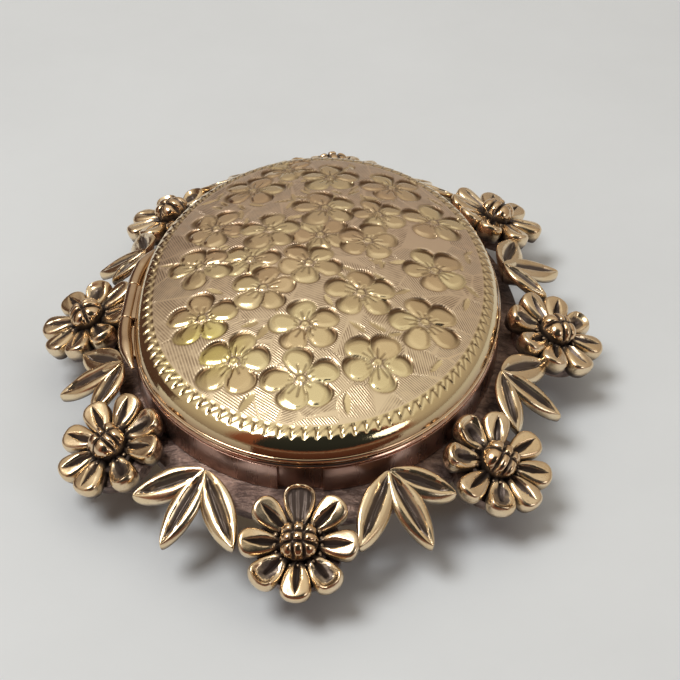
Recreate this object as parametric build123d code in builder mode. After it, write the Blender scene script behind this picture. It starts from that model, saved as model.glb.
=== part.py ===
from build123d import *
import math
import os

os.makedirs("parts", exist_ok=True)

# Oval hinged locket set in a wreath of eight flowers and eight leaf sprays,
# with a brooch pin on its back. Millimetres, +Z up.
# Origin: on the table plane the locket rests on, under the centre of the lid
# oval. +X runs away from the hinge, +Y runs along the oval's long axis.
# In names, front is -Y, back is +Y, left is -X (the hinge side), right is +X;
# the case back is the exception, and is the floor of the case.
# Ovals are given by their half width along X. Heights marked "level" are
# measured from the shut line.

SHUT_Z = 7.70            # height of the shut line (lid edge) above the table
LID_A = 15.0             # half width of the lid oval
LID_B = 19.26            # half length of the lid oval
STRETCH = LID_B / LID_A  # every oval is this much longer than it is wide

# lid
SKIRT_OUT = 14.55        # outside of the lid skirt, under the edge band
SKIRT_IN = 14.05         # inside of the lid skirt
SKIRT_BOTTOM = 0.03      # level
EDGE_TOP = 0.50          # level of the top of the rounded edge band
BEVEL_FOOT = 14.82       # half width where the bevel meets the edge band
BEVEL_MID = (14.60, 1.30)  # half width and level halfway up the bevel
BEVEL_HEAD = 14.15       # half width where the bevel meets the dome
BEVEL_TOP = 1.95         # level of that line
CROWN = 4.35             # level of the dome's crown
SHELL_T = 0.45           # thickness of the domed sheet
SHELL_IN = 13.40         # half width of the hollow above the shoulder
SHOULDER = 0.75          # level of the shoulder inside the lid
NICK_Y = -4.06           # thumb nick in the lid edge
NICK_R = 0.62
NICK_OUT = 0.35          # nick centre, outside the lid oval along X

# pictures in the lid and the case
FRAME_OPENING = 12.40
FRAME_POCKET = 12.97
WINDOW_A = 12.94
WINDOW_T = 0.25
PICTURE_A = 12.90
PICTURE_T = 0.15
LID_FRAME_OUT = 13.50
LID_WINDOW = 0.62        # level of the window's outer face
BASE_FRAME_OUT = 13.57
BASE_WINDOW = -0.52      # level of the window's outer face

# case
WALL_OUT = 14.65
WALL_IN = 14.15
WALL_BOTTOM = -4.60      # level of the underside of the wall
BACK_T = 0.50            # thickness of the case back
BACK_CHAMFER = 0.2
BACK_Z = SHUT_Z + WALL_BOTTOM - BACK_T   # underside of the case back
BEAD_OUT = 15.0          # bead under the shut line
BEAD_TOP = -0.05
BEAD_BOTTOM = -0.45
COLLAR_OUT = 14.95       # collar outside the wall
NOTCH_X = -0.4           # gap in the collar at the front
NOTCH_W = 3.4
LIP_OUT = 13.97          # snap lip that the lid closes over
LIP_IN = 13.60
LEDGE_IN = 12.80         # ledge inside the wall, under the picture frame
LEDGE_TOP = -1.30        # level

# wreath
PLATE_TOP = -2.75        # level of the wreath plate at the wall
PLATE_OUT = 17.0
LOBE_R = 3.20            # disc of the wreath plate under each flower
LOBE_T = 1.0
FLOWER_OVAL = (19.57, 24.56)   # half axes that set each flower's outward direction
FLOWER_R = 4.50          # petal tip radius
FLOWER_TILT = 23.4       # outward tilt of each flower, degrees
FLOWER_LEVEL = -2.35     # petal plane at the flower centre
PETALS = 8
PETAL_T = 1.20
PETAL_CENTRE_R = 2.93    # flower centre to the middle of a petal
PETAL_HALF_W = 1.06
FLOWER_HUB_R = 2.05      # disc that joins the petals
CUP_DEPTH = 0.9          # recess that holds the raised centre
CUP_CLEAR = 0.02
BOSS_R = 1.58            # raised centre
BOSS_H = 2.1
BOSS_FILLET = 1.35

LEAF_OVAL = (16.06, 21.35)     # half axes that set each spray's outward direction
LEAF_INNER_TOP = -0.75   # levels of a spray's top and underside,
LEAF_TIP_TOP = -3.68     # at its inner point and at its middle tip
LEAF_INNER_BASE = -3.00
LEAF_TIP_BASE = -4.95
LEAF_HALF_W = 1.12
LEAF_WIDEST = 0.48       # widest place, as a part of the blade's length
LEAF_BLANK_H = 6.5       # height of a spray before its slopes are cut

# centre x, centre y, and the first petal's direction in degrees from the
# outward direction; the order runs round the wreath
FLOWERS = {
    "front": (-0.18, -24.86, -0.4),
    "front_left": (-15.50, -15.32, -8.0),
    "left": (-19.50, -0.18, -9.0),
    "back_left": (-15.20, 15.90, 8.0),
    "back": (0.05, 24.30, 22.0),
    "back_right": (15.17, 16.12, 9.6),
    "right": (19.79, -0.07, -1.9),
    "front_right": (14.60, -15.72, -6.1),
}
# inner point, middle tip and two side tips, as x, y; each spray lies between
# the flower on the same row above and the one after it
SPRAYS = {
    "front_left": ((-7.56, -19.33), (-10.46, -24.35), (-13.00, -20.29), (-4.95, -25.40)),
    "left_front": ((-15.44, -7.46), (-20.57, -8.44), (-19.14, -4.93), (-17.40, -11.60)),
    "left_back": ((-15.45, 7.20), (-20.50, 9.00), (-19.10, 4.80), (-17.00, 11.60)),
    "back_left": ((-7.20, 19.10), (-10.20, 24.00), (-12.60, 19.90), (-4.70, 24.90)),
    "back_right": ((6.60, 19.00), (9.90, 23.80), (12.00, 19.70), (4.30, 24.90)),
    "right_back": ((15.51, 6.95), (20.55, 9.81), (16.70, 12.00), (19.20, 4.65)),
    "right_front": ((14.93, -6.95), (19.81, -8.81), (16.16, -12.30), (18.79, -3.86)),
    "front_right": ((6.25, -18.67), (9.67, -23.43), (4.29, -24.60), (11.35, -19.24)),
}

# hinge, its axis along Y at the shut line
HINGE_X = -15.60
HINGE_R = 0.56
HINGE_PIN_R = 0.30
HINGE_PIN_Y = (-6.15, 3.65)    # ends of the pin
HINGE_PIN_END_GAP = 0.05       # bore depth beyond each pin end
HINGE_CLEAR = 0.03             # radial clearance of the lid knuckle on its pin
FRONT_KNUCKLE_Y = (-3.45, -9.0)    # from its seam to its tip
LID_KNUCKLE_Y = (-3.40, 0.90)
REAR_KNUCKLE_Y = (0.95, 6.5)       # from its seam to its tip
BARREL_LEN = 2.9               # straight part of a case knuckle
KNUCKLE_TIP_R = 0.14
KNUCKLE_TIP_IN = 1.15          # tip, in from the hinge axis along X
KNUCKLE_TIP_DROP = 0.15
LUG_BOTTOM = -0.95             # level of the lug that joins a case knuckle to the case
LUG_T = 0.50
LUG_W = 2.0
LUG_IN = 1.05                  # lug centre, in from the hinge axis
LUG_SHORTER = 0.1              # the lug is this much shorter than the barrel
TAB_BOTTOM = 0.12              # level of the tab that joins the lid knuckle to the lid
TAB_T = 0.36
TAB_W = 1.0

# brooch pin, its stem along X
PIN_Y = 4.0
PIN_Z = 1.25             # height of the stem's axis
FOOT_T = 0.40            # feet of the bracket and catch, under the case back
FOOT_W = 3.6
FOOT_CORNER_R = 0.6
BRACKET_X = -11.0        # pin pivot
BRACKET_FOOT_LEN = 4.2
BRACKET_R = 1.32         # rounded end of each bracket cheek
BRACKET_HALF = 1.10      # PIN_Y to the outside of a bracket cheek
BRACKET_CHEEK_T = 0.60
CHEEK_RISE = 1.2         # straight part of a cheek above the stem's axis
RIVET_R = 0.35
RIVET_HEAD_R = 0.60
RIVET_HEAD_T = 0.28
RIVET_CLEAR = 0.03       # radial clearance of the stem's eye on the rivet
EYE_R = 0.86
EYE_T = 0.92
NECK_X = BRACKET_X + 0.5
NECK_R = 0.45
STEM_COLLAR_R = 0.56
STEM_COLLAR_LEN = 0.9
SHANK_X = -8.5           # the straight shank starts here, at the collar
STEM_R = 0.40
TAPER_X = 6.5            # the taper starts here
STEM_TIP_X = 13.8
STEM_TIP_R = 0.07

CATCH_X = 11.6           # middle of the safety catch
CATCH_FOOT_LEN = 3.4
CATCH_R = 1.345
CATCH_HALF = 1.0         # CATCH_X to the outside of a catch cheek
CATCH_CHEEK_T = 0.40
CATCH_BORE_R = 0.85
CATCH_SLOT_W = 1.0
CATCH_SLOT_H = 1.6
ROLLER_R = 0.79
ROLLER_FLANGE_R = 0.93
ROLLER_FLANGE_W = 1.10
ROLLER_TAB_W = 0.60
ROLLER_TAB_SIZE = (1.1, 0.5)
ROLLER_TAB_R = 1.15      # roller axis to the middle of the tab
ROLLER_TAB_ANGLE = 165
ROLLER_BORE_R = 0.46
ROLLER_SLOT_W = 0.90
ROLLER_SLOT_H = 1.2


# --- helpers ----------------------------------------------------------------


def level(height):
    """Height above the table of a level measured from the shut line."""
    return SHUT_Z + height


def at_level(height):
    return Plane.XY.offset(level(height))


def plane_along_y(x, y, z, side=1):
    """Plane facing +Y or -Y; facing +Y, its local Y points down."""
    return Plane(origin=(x, y, z), x_dir=(1, 0, 0), z_dir=(0, side, 0))


def pivot_plane(offset):
    """Plane across the rivet's axis, offset along Y from PIN_Y."""
    return plane_along_y(BRACKET_X, PIN_Y + offset, PIN_Z)


def stem_plane(x):
    """Plane across the stem's axis, local Y pointing up."""
    return Plane(origin=(x, PIN_Y, PIN_Z), x_dir=(0, 1, 0), z_dir=(1, 0, 0))


def outward(x, y, half_axes):
    """Unit outward direction of an oval with these half axes at (x, y)."""
    normal_x, normal_y = x / half_axes[0] ** 2, y / half_axes[1] ** 2
    length = math.hypot(normal_x, normal_y)
    return normal_x / length, normal_y / length


def flower_plane(x, y):
    """Plane of a flower's petals, local X pointing outward and downward."""
    out_x, out_y = outward(x, y, FLOWER_OVAL)
    tilt = math.radians(FLOWER_TILT)
    return Plane(
        origin=(x, y, level(FLOWER_LEVEL)),
        x_dir=(out_x * math.cos(tilt), out_y * math.cos(tilt), -math.sin(tilt)),
        z_dir=(out_x * math.sin(tilt), out_y * math.sin(tilt), math.cos(tilt)),
    )


def oval_stack(*steps):
    """Stacked ovals; each step is bottom level, top level, outer and inner
    half width, with None for a solid oval."""
    with BuildPart() as stack:
        for bottom, top, outer, inner in steps:
            with BuildSketch(at_level(bottom)):
                Ellipse(outer, outer * STRETCH)
                if inner is not None:
                    Ellipse(inner, inner * STRETCH, mode=Mode.SUBTRACT)
            extrude(amount=top - bottom)
    return stack.part


def save(name, part):
    part.label = name
    export_step(part, f"parts/{name}.step")
    return part


# --- lid --------------------------------------------------------------------

DOME_RISE = CROWN - BEVEL_TOP
DOME_R = (BEVEL_HEAD**2 + DOME_RISE**2) / (2 * DOME_RISE)


def dome_point(radius, drop=0.0):
    """Profile point on the dome, or on its inside when drop is the thickness."""
    return radius, level(CROWN - DOME_R + math.sqrt((DOME_R - drop) ** 2 - radius**2))


def lid_shell():
    """Domed lid with its skirt: revolved profile, stretched to the oval."""
    edge_in = (BEVEL_FOOT, level(EDGE_TOP))
    bevel_head = (BEVEL_HEAD, level(BEVEL_TOP))
    crown = (0, level(CROWN))
    crown_inside = (0, level(CROWN - SHELL_T))
    dome_inside = dome_point(SHELL_IN, SHELL_T)
    with BuildPart() as shell:
        with BuildSketch(Plane.XZ):
            with BuildLine():
                Polyline(
                    (SKIRT_OUT, level(SKIRT_BOTTOM)),
                    (SKIRT_OUT, level(EDGE_TOP)),
                    edge_in,
                )
                ThreePointArc(edge_in, (BEVEL_MID[0], level(BEVEL_MID[1])), bevel_head)
                ThreePointArc(bevel_head, dome_point(7.0), crown)
                Line(crown, crown_inside)
                ThreePointArc(crown_inside, dome_point(6.5, SHELL_T), dome_inside)
                Polyline(
                    dome_inside,
                    (SHELL_IN, level(SHOULDER)),
                    (SKIRT_IN, level(SHOULDER)),
                    (SKIRT_IN, level(SKIRT_BOTTOM)),
                    (SKIRT_OUT, level(SKIRT_BOTTOM)),
                )
            make_face()
        revolve(axis=Axis.Z)
        scale(by=(1, STRETCH, 1))
    return shell.part


def lid_edge_band():
    """Rounded band round the lid's edge, nicked on the side away from the hinge."""
    bottom = (14.86, level(SKIRT_BOTTOM))
    top = (14.84, level(EDGE_TOP))
    nick_x = LID_A * math.sqrt(1 - (NICK_Y / LID_B) ** 2) + NICK_OUT
    with BuildPart() as band:
        with BuildSketch(Plane.XZ):
            with BuildLine():
                Line((SKIRT_OUT, level(SKIRT_BOTTOM)), bottom)
                ThreePointArc(bottom, (LID_A, level(0.24)), top)
                Polyline(
                    top,
                    (SKIRT_OUT, level(EDGE_TOP)),
                    (SKIRT_OUT, level(SKIRT_BOTTOM)),
                )
            make_face()
        revolve(axis=Axis.Z)
        scale(by=(1, STRETCH, 1))
        with Locations((nick_x, NICK_Y, SHUT_Z)):
            Sphere(radius=NICK_R, mode=Mode.SUBTRACT)
    return band.part


save("lid_shell", lid_shell())
edge_band = save("lid_edge_band", lid_edge_band())
save("lid_photo_frame", oval_stack(
    (0.30, LID_WINDOW, LID_FRAME_OUT, FRAME_OPENING),
    (LID_WINDOW, SHOULDER, LID_FRAME_OUT, FRAME_POCKET),
    (SHOULDER, 1.20, SHELL_IN, FRAME_POCKET),
))
lid_picture = LID_WINDOW + WINDOW_T
save("lid_window", oval_stack((LID_WINDOW, lid_picture, WINDOW_A, None)))
save("lid_photo_blank", oval_stack((lid_picture, lid_picture + PICTURE_T, PICTURE_A, None)))

# --- case -------------------------------------------------------------------


def case_back():
    with BuildPart() as back:
        with BuildSketch(Plane.XY.offset(BACK_Z)):
            Ellipse(WALL_OUT, WALL_OUT * STRETCH)
        extrude(amount=BACK_T)
        chamfer(back.faces().sort_by(Axis.Z)[0].edges(), length=BACK_CHAMFER)
    return back.part


def case_bead():
    """Rounded bead round the mouth of the case, just under the shut line."""
    bottom = (14.80, level(BEAD_BOTTOM))
    top = (14.84, level(BEAD_TOP))
    with BuildPart() as bead:
        with BuildSketch(Plane.XZ):
            with BuildLine():
                Line((WALL_IN, level(BEAD_BOTTOM)), bottom)
                ThreePointArc(bottom, (BEAD_OUT, level(-0.25)), top)
                Polyline(
                    top,
                    (WALL_IN, level(BEAD_TOP)),
                    (WALL_IN, level(BEAD_BOTTOM)),
                )
            make_face()
        revolve(axis=Axis.Z)
        scale(by=(1, STRETCH, 1))
    return bead.part


def collar_band():
    """Collar between the bead and the wreath plate, open at the front."""
    with BuildPart() as collar:
        with BuildSketch(at_level(PLATE_TOP)):
            Ellipse(COLLAR_OUT, COLLAR_OUT * STRETCH)
            Ellipse(WALL_OUT, WALL_OUT * STRETCH, mode=Mode.SUBTRACT)
            with Locations((NOTCH_X, -COLLAR_OUT * STRETCH)):
                Rectangle(NOTCH_W, 4.0, mode=Mode.SUBTRACT)
        extrude(amount=BEAD_BOTTOM - PLATE_TOP)
    return collar.part


save("case_back", case_back())
wall = save("case_wall", oval_stack((WALL_BOTTOM, BEAD_BOTTOM, WALL_OUT, WALL_IN)))
bead = save("case_bead", case_bead())
collar = save("collar_band", collar_band())
# the ledge, the lip's root inside the wall, and the lip standing above it
save("snap_lip", oval_stack(
    (-1.60, LEDGE_TOP, WALL_IN, LEDGE_IN),
    (LEDGE_TOP, -0.10, WALL_IN, LIP_IN),
    (-0.10, 0.60, LIP_OUT, LIP_IN),
))
save("base_photo_frame", oval_stack(
    (LEDGE_TOP, BASE_WINDOW, BASE_FRAME_OUT, FRAME_POCKET),
    (BASE_WINDOW, -0.15, BASE_FRAME_OUT, FRAME_OPENING),
))
base_picture = BASE_WINDOW - WINDOW_T
save("base_window", oval_stack((base_picture, BASE_WINDOW, WINDOW_A, None)))
save("base_photo_blank", oval_stack((base_picture - PICTURE_T, base_picture, PICTURE_A, None)))

# --- wreath -----------------------------------------------------------------


def wreath_plate():
    """Ring round the case wall with a tilted disc under each flower."""
    with BuildPart() as plate:
        with BuildSketch(Plane.XZ):
            with BuildLine():
                Polyline(
                    (WALL_OUT, level(PLATE_TOP)),
                    (15.05, level(PLATE_TOP)),
                    (PLATE_OUT, level(-3.30)),
                    (PLATE_OUT, level(-4.00)),
                    (WALL_OUT, level(-3.50)),
                    (WALL_OUT, level(PLATE_TOP)),
                )
            make_face()
        revolve(axis=Axis.Z)
        scale(by=(1, STRETCH, 1))
        for x, y, _ in FLOWERS.values():
            with BuildSketch(flower_plane(x, y).offset(-PETAL_T - LOBE_T)):
                Circle(LOBE_R)
            extrude(amount=LOBE_T)
    return plate.part


def flower(base, first_petal):
    """Rounded petals round a cup."""
    with BuildPart() as petals:
        with BuildSketch(base.offset(-PETAL_T)):
            with PolarLocations(PETAL_CENTRE_R, PETALS, start_angle=first_petal):
                Ellipse(FLOWER_R - PETAL_CENTRE_R, PETAL_HALF_W)
            Circle(FLOWER_HUB_R)
        extrude(amount=PETAL_T)
        with BuildSketch(base.offset(-CUP_DEPTH)):
            Circle(BOSS_R + CUP_CLEAR)
        extrude(amount=CUP_DEPTH, mode=Mode.SUBTRACT)
    return petals.part


def flower_centre(base):
    """Domed centre standing in the cup."""
    with BuildPart() as boss:
        with BuildSketch(base.offset(-CUP_DEPTH)):
            Circle(BOSS_R)
        extrude(amount=BOSS_H)
        rims = boss.edges().filter_by(GeomType.CIRCLE)
        top_rim = rims.sort_by(lambda rim: (rim.center() - base.origin).dot(base.z_dir))[-1]
        fillet(top_rim, radius=BOSS_FILLET)
    return boss.part


def leaf_slope(inner, out, run, inner_level, tip_level):
    """Plane falling outward from the inner point to the middle tip."""
    slope = (tip_level - inner_level) / run
    return Plane(
        origin=(inner[0], inner[1], level(inner_level)),
        z_dir=(-slope * out[0], -slope * out[1], 1),
    )


def leaf_spray(inner, tips, neighbours):
    """Three pointed blades from one inner point, wedge-shaped, cut clear of
    the neighbouring pieces."""
    out = outward(inner[0], inner[1], LEAF_OVAL)
    middle = tips[0]
    run = (middle[0] - inner[0]) * out[0] + (middle[1] - inner[1]) * out[1]
    with BuildPart() as spray:
        with BuildSketch(at_level(-LEAF_BLANK_H)):
            for tip in tips:
                along_x, along_y = tip[0] - inner[0], tip[1] - inner[1]
                length = math.hypot(along_x, along_y)
                side_x = -along_y / length * LEAF_HALF_W
                side_y = along_x / length * LEAF_HALF_W
                mid_x = inner[0] + along_x * LEAF_WIDEST
                mid_y = inner[1] + along_y * LEAF_WIDEST
                with BuildLine():
                    ThreePointArc(inner, (mid_x + side_x, mid_y + side_y), tip)
                    ThreePointArc(tip, (mid_x - side_x, mid_y - side_y), inner)
                make_face()
        extrude(amount=LEAF_BLANK_H)
        split(
            bisect_by=leaf_slope(inner, out, run, LEAF_INNER_TOP, LEAF_TIP_TOP),
            keep=Keep.BOTTOM,
        )
        split(
            bisect_by=leaf_slope(inner, out, run, LEAF_INNER_BASE, LEAF_TIP_BASE),
            keep=Keep.TOP,
        )
        for neighbour in neighbours:
            add(neighbour, mode=Mode.SUBTRACT)
    return spray.part


plate = save("wreath_plate", wreath_plate())
flowers = []
for name, (x, y, first_petal) in FLOWERS.items():
    base = flower_plane(x, y)
    flowers.append(save(f"flower_{name}", flower(base, first_petal)))
    save(f"flower_centre_{name}", flower_centre(base))
for i, (name, (inner, *tips)) in enumerate(SPRAYS.items()):
    neighbours = (flowers[i], flowers[(i + 1) % len(flowers)], plate)
    save(f"leaf_spray_{name}", leaf_spray(inner, tips, neighbours))

# --- lid hinge --------------------------------------------------------------


def case_knuckle(seam_y, tip_y, pin_end_y):
    """Bored barrel, tapering to a point beside the wall."""
    side = 1 if tip_y > seam_y else -1
    barrel_end = seam_y + side * BARREL_LEN
    bore_end = pin_end_y + side * HINGE_PIN_END_GAP
    seam = plane_along_y(HINGE_X, seam_y, SHUT_Z, side)
    tip = plane_along_y(HINGE_X + KNUCKLE_TIP_IN, tip_y, SHUT_Z - KNUCKLE_TIP_DROP, side)
    with BuildPart() as knuckle:
        with BuildSketch(seam):
            Circle(HINGE_R)
        extrude(amount=BARREL_LEN)
        with BuildSketch(plane_along_y(HINGE_X, barrel_end, SHUT_Z, side)):
            Circle(HINGE_R)
        with BuildSketch(tip):
            Circle(KNUCKLE_TIP_R)
        loft()
        with BuildSketch(at_level(LUG_BOTTOM)):
            with Locations((HINGE_X + LUG_IN, (seam_y + barrel_end) / 2)):
                Rectangle(LUG_W, BARREL_LEN - LUG_SHORTER)
        extrude(amount=LUG_T)
        with BuildSketch(seam):
            Circle(HINGE_PIN_R)
        extrude(amount=abs(bore_end - seam_y), mode=Mode.SUBTRACT)
        # cut clear of the case's outside, then of everything inside the wall
        for other in (wall, collar, bead):
            add(other, mode=Mode.SUBTRACT)
        with BuildSketch(at_level(-2.0)):
            Ellipse(WALL_IN, WALL_IN * STRETCH)
        extrude(amount=2.5, mode=Mode.SUBTRACT)
    return knuckle.part


def hinge_pin():
    start, end = HINGE_PIN_Y
    with BuildPart() as pin:
        with BuildSketch(plane_along_y(HINGE_X, start, SHUT_Z)):
            Circle(HINGE_PIN_R)
        extrude(amount=end - start)
    return pin.part


def lid_hinge_knuckle():
    """Bored barrel with a tab to the lid, cut clear of the lid's edge."""
    start, end = LID_KNUCKLE_Y
    length = end - start
    seam = plane_along_y(HINGE_X, start, SHUT_Z)
    with BuildPart() as knuckle:
        with BuildSketch(seam):
            Circle(HINGE_R)
        extrude(amount=length)
        with BuildSketch(at_level(TAB_BOTTOM)):
            with Locations((HINGE_X + TAB_W / 2, (start + end) / 2)):
                Rectangle(TAB_W, length)
        extrude(amount=TAB_T)
        with BuildSketch(seam):
            Circle(HINGE_PIN_R + HINGE_CLEAR)
        extrude(amount=length, mode=Mode.SUBTRACT)
        add(edge_band, mode=Mode.SUBTRACT)
        skirt_clear = SKIRT_OUT + 0.02
        with BuildSketch(at_level(-0.5)):
            Ellipse(skirt_clear, skirt_clear * STRETCH)
        extrude(amount=2.5, mode=Mode.SUBTRACT)
    return knuckle.part


save("hinge_knuckle_front", case_knuckle(*FRONT_KNUCKLE_Y, HINGE_PIN_Y[0]))
save("hinge_knuckle_rear", case_knuckle(*REAR_KNUCKLE_Y, HINGE_PIN_Y[1]))
save("hinge_pin", hinge_pin())
save("lid_hinge_knuckle", lid_hinge_knuckle())

# --- brooch pin under the case back -----------------------------------------


def pin_bracket():
    """Foot and two cheeks, drilled for the rivet and trimmed at the table."""
    with BuildPart() as bracket:
        with BuildSketch(Plane.XY.offset(BACK_Z - FOOT_T)):
            with Locations((BRACKET_X, PIN_Y)):
                RectangleRounded(BRACKET_FOOT_LEN, FOOT_W, FOOT_CORNER_R)
        extrude(amount=FOOT_T)
        for offset in (-BRACKET_HALF, BRACKET_HALF - BRACKET_CHEEK_T):
            with BuildSketch(pivot_plane(offset)):
                Circle(BRACKET_R)
                with Locations((0, -CHEEK_RISE / 2)):
                    Rectangle(2 * BRACKET_R, CHEEK_RISE)
            extrude(amount=BRACKET_CHEEK_T)
        with BuildSketch(pivot_plane(-1.2)):
            Circle(RIVET_R)
        extrude(amount=2.4, mode=Mode.SUBTRACT)
        with BuildSketch(Plane.XY.offset(-1.0)):
            with Locations((BRACKET_X, PIN_Y)):
                Rectangle(4.0, 4.0)
        extrude(amount=1.0, mode=Mode.SUBTRACT)
    return bracket.part


def pin_rivet():
    with BuildPart() as rivet:
        with BuildSketch(pivot_plane(-BRACKET_HALF)):
            Circle(RIVET_R)
        extrude(amount=2 * BRACKET_HALF)
        for offset in (BRACKET_HALF, -BRACKET_HALF - RIVET_HEAD_T):
            with BuildSketch(pivot_plane(offset)):
                Circle(RIVET_HEAD_R)
            extrude(amount=RIVET_HEAD_T)
    return rivet.part


def pin_stem():
    """Flat eye on the rivet, neck, collar, straight shank and tapered point."""
    with BuildPart() as stem:
        with BuildSketch(pivot_plane(-EYE_T / 2)):
            Circle(EYE_R)
        extrude(amount=EYE_T)
        for start, end, radius in (
            (NECK_X, SHANK_X, NECK_R),
            (SHANK_X - STEM_COLLAR_LEN, SHANK_X, STEM_COLLAR_R),
            (SHANK_X, TAPER_X, STEM_R),
        ):
            with BuildSketch(stem_plane(start)):
                Circle(radius)
            extrude(amount=end - start)
        with BuildSketch(stem_plane(TAPER_X)):
            Circle(STEM_R)
        with BuildSketch(stem_plane(STEM_TIP_X)):
            Circle(STEM_TIP_R)
        loft()
        with BuildSketch(pivot_plane(-0.6)):
            Circle(RIVET_R + RIVET_CLEAR)
        extrude(amount=1.2, mode=Mode.SUBTRACT)
    return stem.part


def catch_housing():
    """Foot and two bored cheeks, each slotted downward."""
    with BuildPart() as housing:
        with BuildSketch(Plane.XY.offset(BACK_Z - FOOT_T)):
            with Locations((CATCH_X, PIN_Y)):
                RectangleRounded(CATCH_FOOT_LEN, FOOT_W, FOOT_CORNER_R)
        extrude(amount=FOOT_T)
        for offset in (-CATCH_HALF, CATCH_HALF - CATCH_CHEEK_T):
            with BuildSketch(stem_plane(CATCH_X + offset)):
                Circle(CATCH_R)
                with Locations((0, CHEEK_RISE / 2)):
                    Rectangle(2 * CATCH_R, CHEEK_RISE)
                Circle(CATCH_BORE_R, mode=Mode.SUBTRACT)
                with Locations((0, -CATCH_SLOT_H / 2)):
                    Rectangle(CATCH_SLOT_W, CATCH_SLOT_H, mode=Mode.SUBTRACT)
            extrude(amount=CATCH_CHEEK_T)
    return housing.part


def catch_roller():
    """Slotted roller that turns in the cheeks, with a flange and a round-ended
    tab between them."""
    with BuildPart() as roller:
        with BuildSketch(stem_plane(CATCH_X - CATCH_HALF)):
            Circle(ROLLER_R)
        extrude(amount=2 * CATCH_HALF)
        with BuildSketch(stem_plane(CATCH_X - ROLLER_FLANGE_W / 2)):
            Circle(ROLLER_FLANGE_R)
        extrude(amount=ROLLER_FLANGE_W)
        with BuildSketch(stem_plane(CATCH_X - ROLLER_TAB_W / 2)):
            with Locations(Location((0, 0, 0), (0, 0, ROLLER_TAB_ANGLE))):
                with Locations((ROLLER_TAB_R, 0)):
                    SlotOverall(*ROLLER_TAB_SIZE)
        extrude(amount=ROLLER_TAB_W)
        with BuildSketch(stem_plane(CATCH_X - 1.1)):
            Circle(ROLLER_BORE_R)
            with Locations((0, -ROLLER_SLOT_H / 2)):
                Rectangle(ROLLER_SLOT_W, ROLLER_SLOT_H)
        extrude(amount=2.2, mode=Mode.SUBTRACT)
    return roller.part


save("pin_bracket", pin_bracket())
save("pin_rivet", pin_rivet())
save("pin_stem", pin_stem())
save("catch_housing", catch_housing())
save("catch_roller", catch_roller())
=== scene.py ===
"""Looks for the oval locket brooch: engraved lid, polished case, cast wreath of flowers and leaf sprays."""

import bpy
import math
import numpy as np
from mathutils import Matrix, Vector


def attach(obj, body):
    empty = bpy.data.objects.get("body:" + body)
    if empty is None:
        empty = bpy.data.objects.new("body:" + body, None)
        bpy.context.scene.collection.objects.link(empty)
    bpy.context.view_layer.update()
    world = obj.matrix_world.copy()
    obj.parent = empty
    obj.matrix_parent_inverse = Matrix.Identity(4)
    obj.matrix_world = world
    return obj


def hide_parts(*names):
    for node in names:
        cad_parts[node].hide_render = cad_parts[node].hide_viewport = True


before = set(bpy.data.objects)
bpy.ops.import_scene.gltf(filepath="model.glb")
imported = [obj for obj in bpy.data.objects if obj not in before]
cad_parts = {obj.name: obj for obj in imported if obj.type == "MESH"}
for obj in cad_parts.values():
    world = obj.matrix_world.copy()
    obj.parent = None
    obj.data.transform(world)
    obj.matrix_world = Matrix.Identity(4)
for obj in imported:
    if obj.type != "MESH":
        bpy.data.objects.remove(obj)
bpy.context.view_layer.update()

# ---------------------------------------------------------------------------
# the object's own numbers, millimetres; z values are from the shut line
# ---------------------------------------------------------------------------
SZ = 7.70
K = 19.26 / 15.0
DOME_R = (14.15**2 + 2.4**2) / 4.8
DOME_C = 4.35 - DOME_R
FLOWERS = {
    "front": (-0.18, -24.86),
    "front_left": (-15.50, -15.32),
    "left": (-19.50, -0.18),
    "back_left": (-14.20, 15.20),
    "back": (-0.05, 23.75),
    "back_right": (15.17, 16.12),
    "right": (19.79, -0.07),
    "front_right": (14.60, -15.72),
}
TIPS = {
    "right": (4.4, 48.6, 86.7, 127.2, 176.1, 226.8, 265.1, 310.2),
    "back_right": (20.3, 57.0, 104.4, 147.0, 186.0, 222.5, 266.1, 326.3),
    "left": (353.3, 41.0, 81.8, 121.3, 165.0, 217.4, 264.0, 303.8),
    "front_left": (29.8, 82.4, 130.8, 171.4, 217.0, 262.1, 304.0, 350.5),
    "front": (41.6, 90.7, 138.9, 182.6, 226.6, 271.2, 315.7, 359.8),
    "front_right": (34.4, 78.5, 128.7, 171.7, 220.7, 268.4, 311.8, 353.2),
    "back": (22.0, 67.5, 112.0, 158.0, 202.0, 247.5, 292.0, 337.0),
    "back_left": (8.0, 54.0, 97.0, 143.0, 188.0, 234.0, 277.0, 323.0),
}
SPRAYS = {
    "front_left": ((-7.56, -19.33), (-10.46, -24.35), (-13.00, -20.29), (-4.95, -25.40)),
    "left_front": ((-15.44, -7.46), (-20.57, -8.44), (-19.14, -4.93), (-17.40, -11.60)),
    "left_back": ((-15.45, 7.20), (-19.75, 7.50), (-18.10, 4.60), (-16.60, 11.30)),
    "back_left": ((-7.20, 18.90), (-9.70, 22.60), (-12.20, 18.90), (-4.45, 23.80)),
    "back_right": ((6.60, 18.90), (9.30, 22.70), (11.65, 18.95), (4.05, 24.00)),
    "right_back": ((15.51, 6.95), (20.55, 9.81), (16.70, 12.00), (19.20, 4.65)),
    "right_front": ((14.93, -6.95), (19.81, -8.81), (16.16, -12.30), (18.79, -3.86)),
    "front_right": ((6.25, -18.67), (9.67, -23.43), (4.29, -24.60), (11.35, -19.24)),
}
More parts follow.
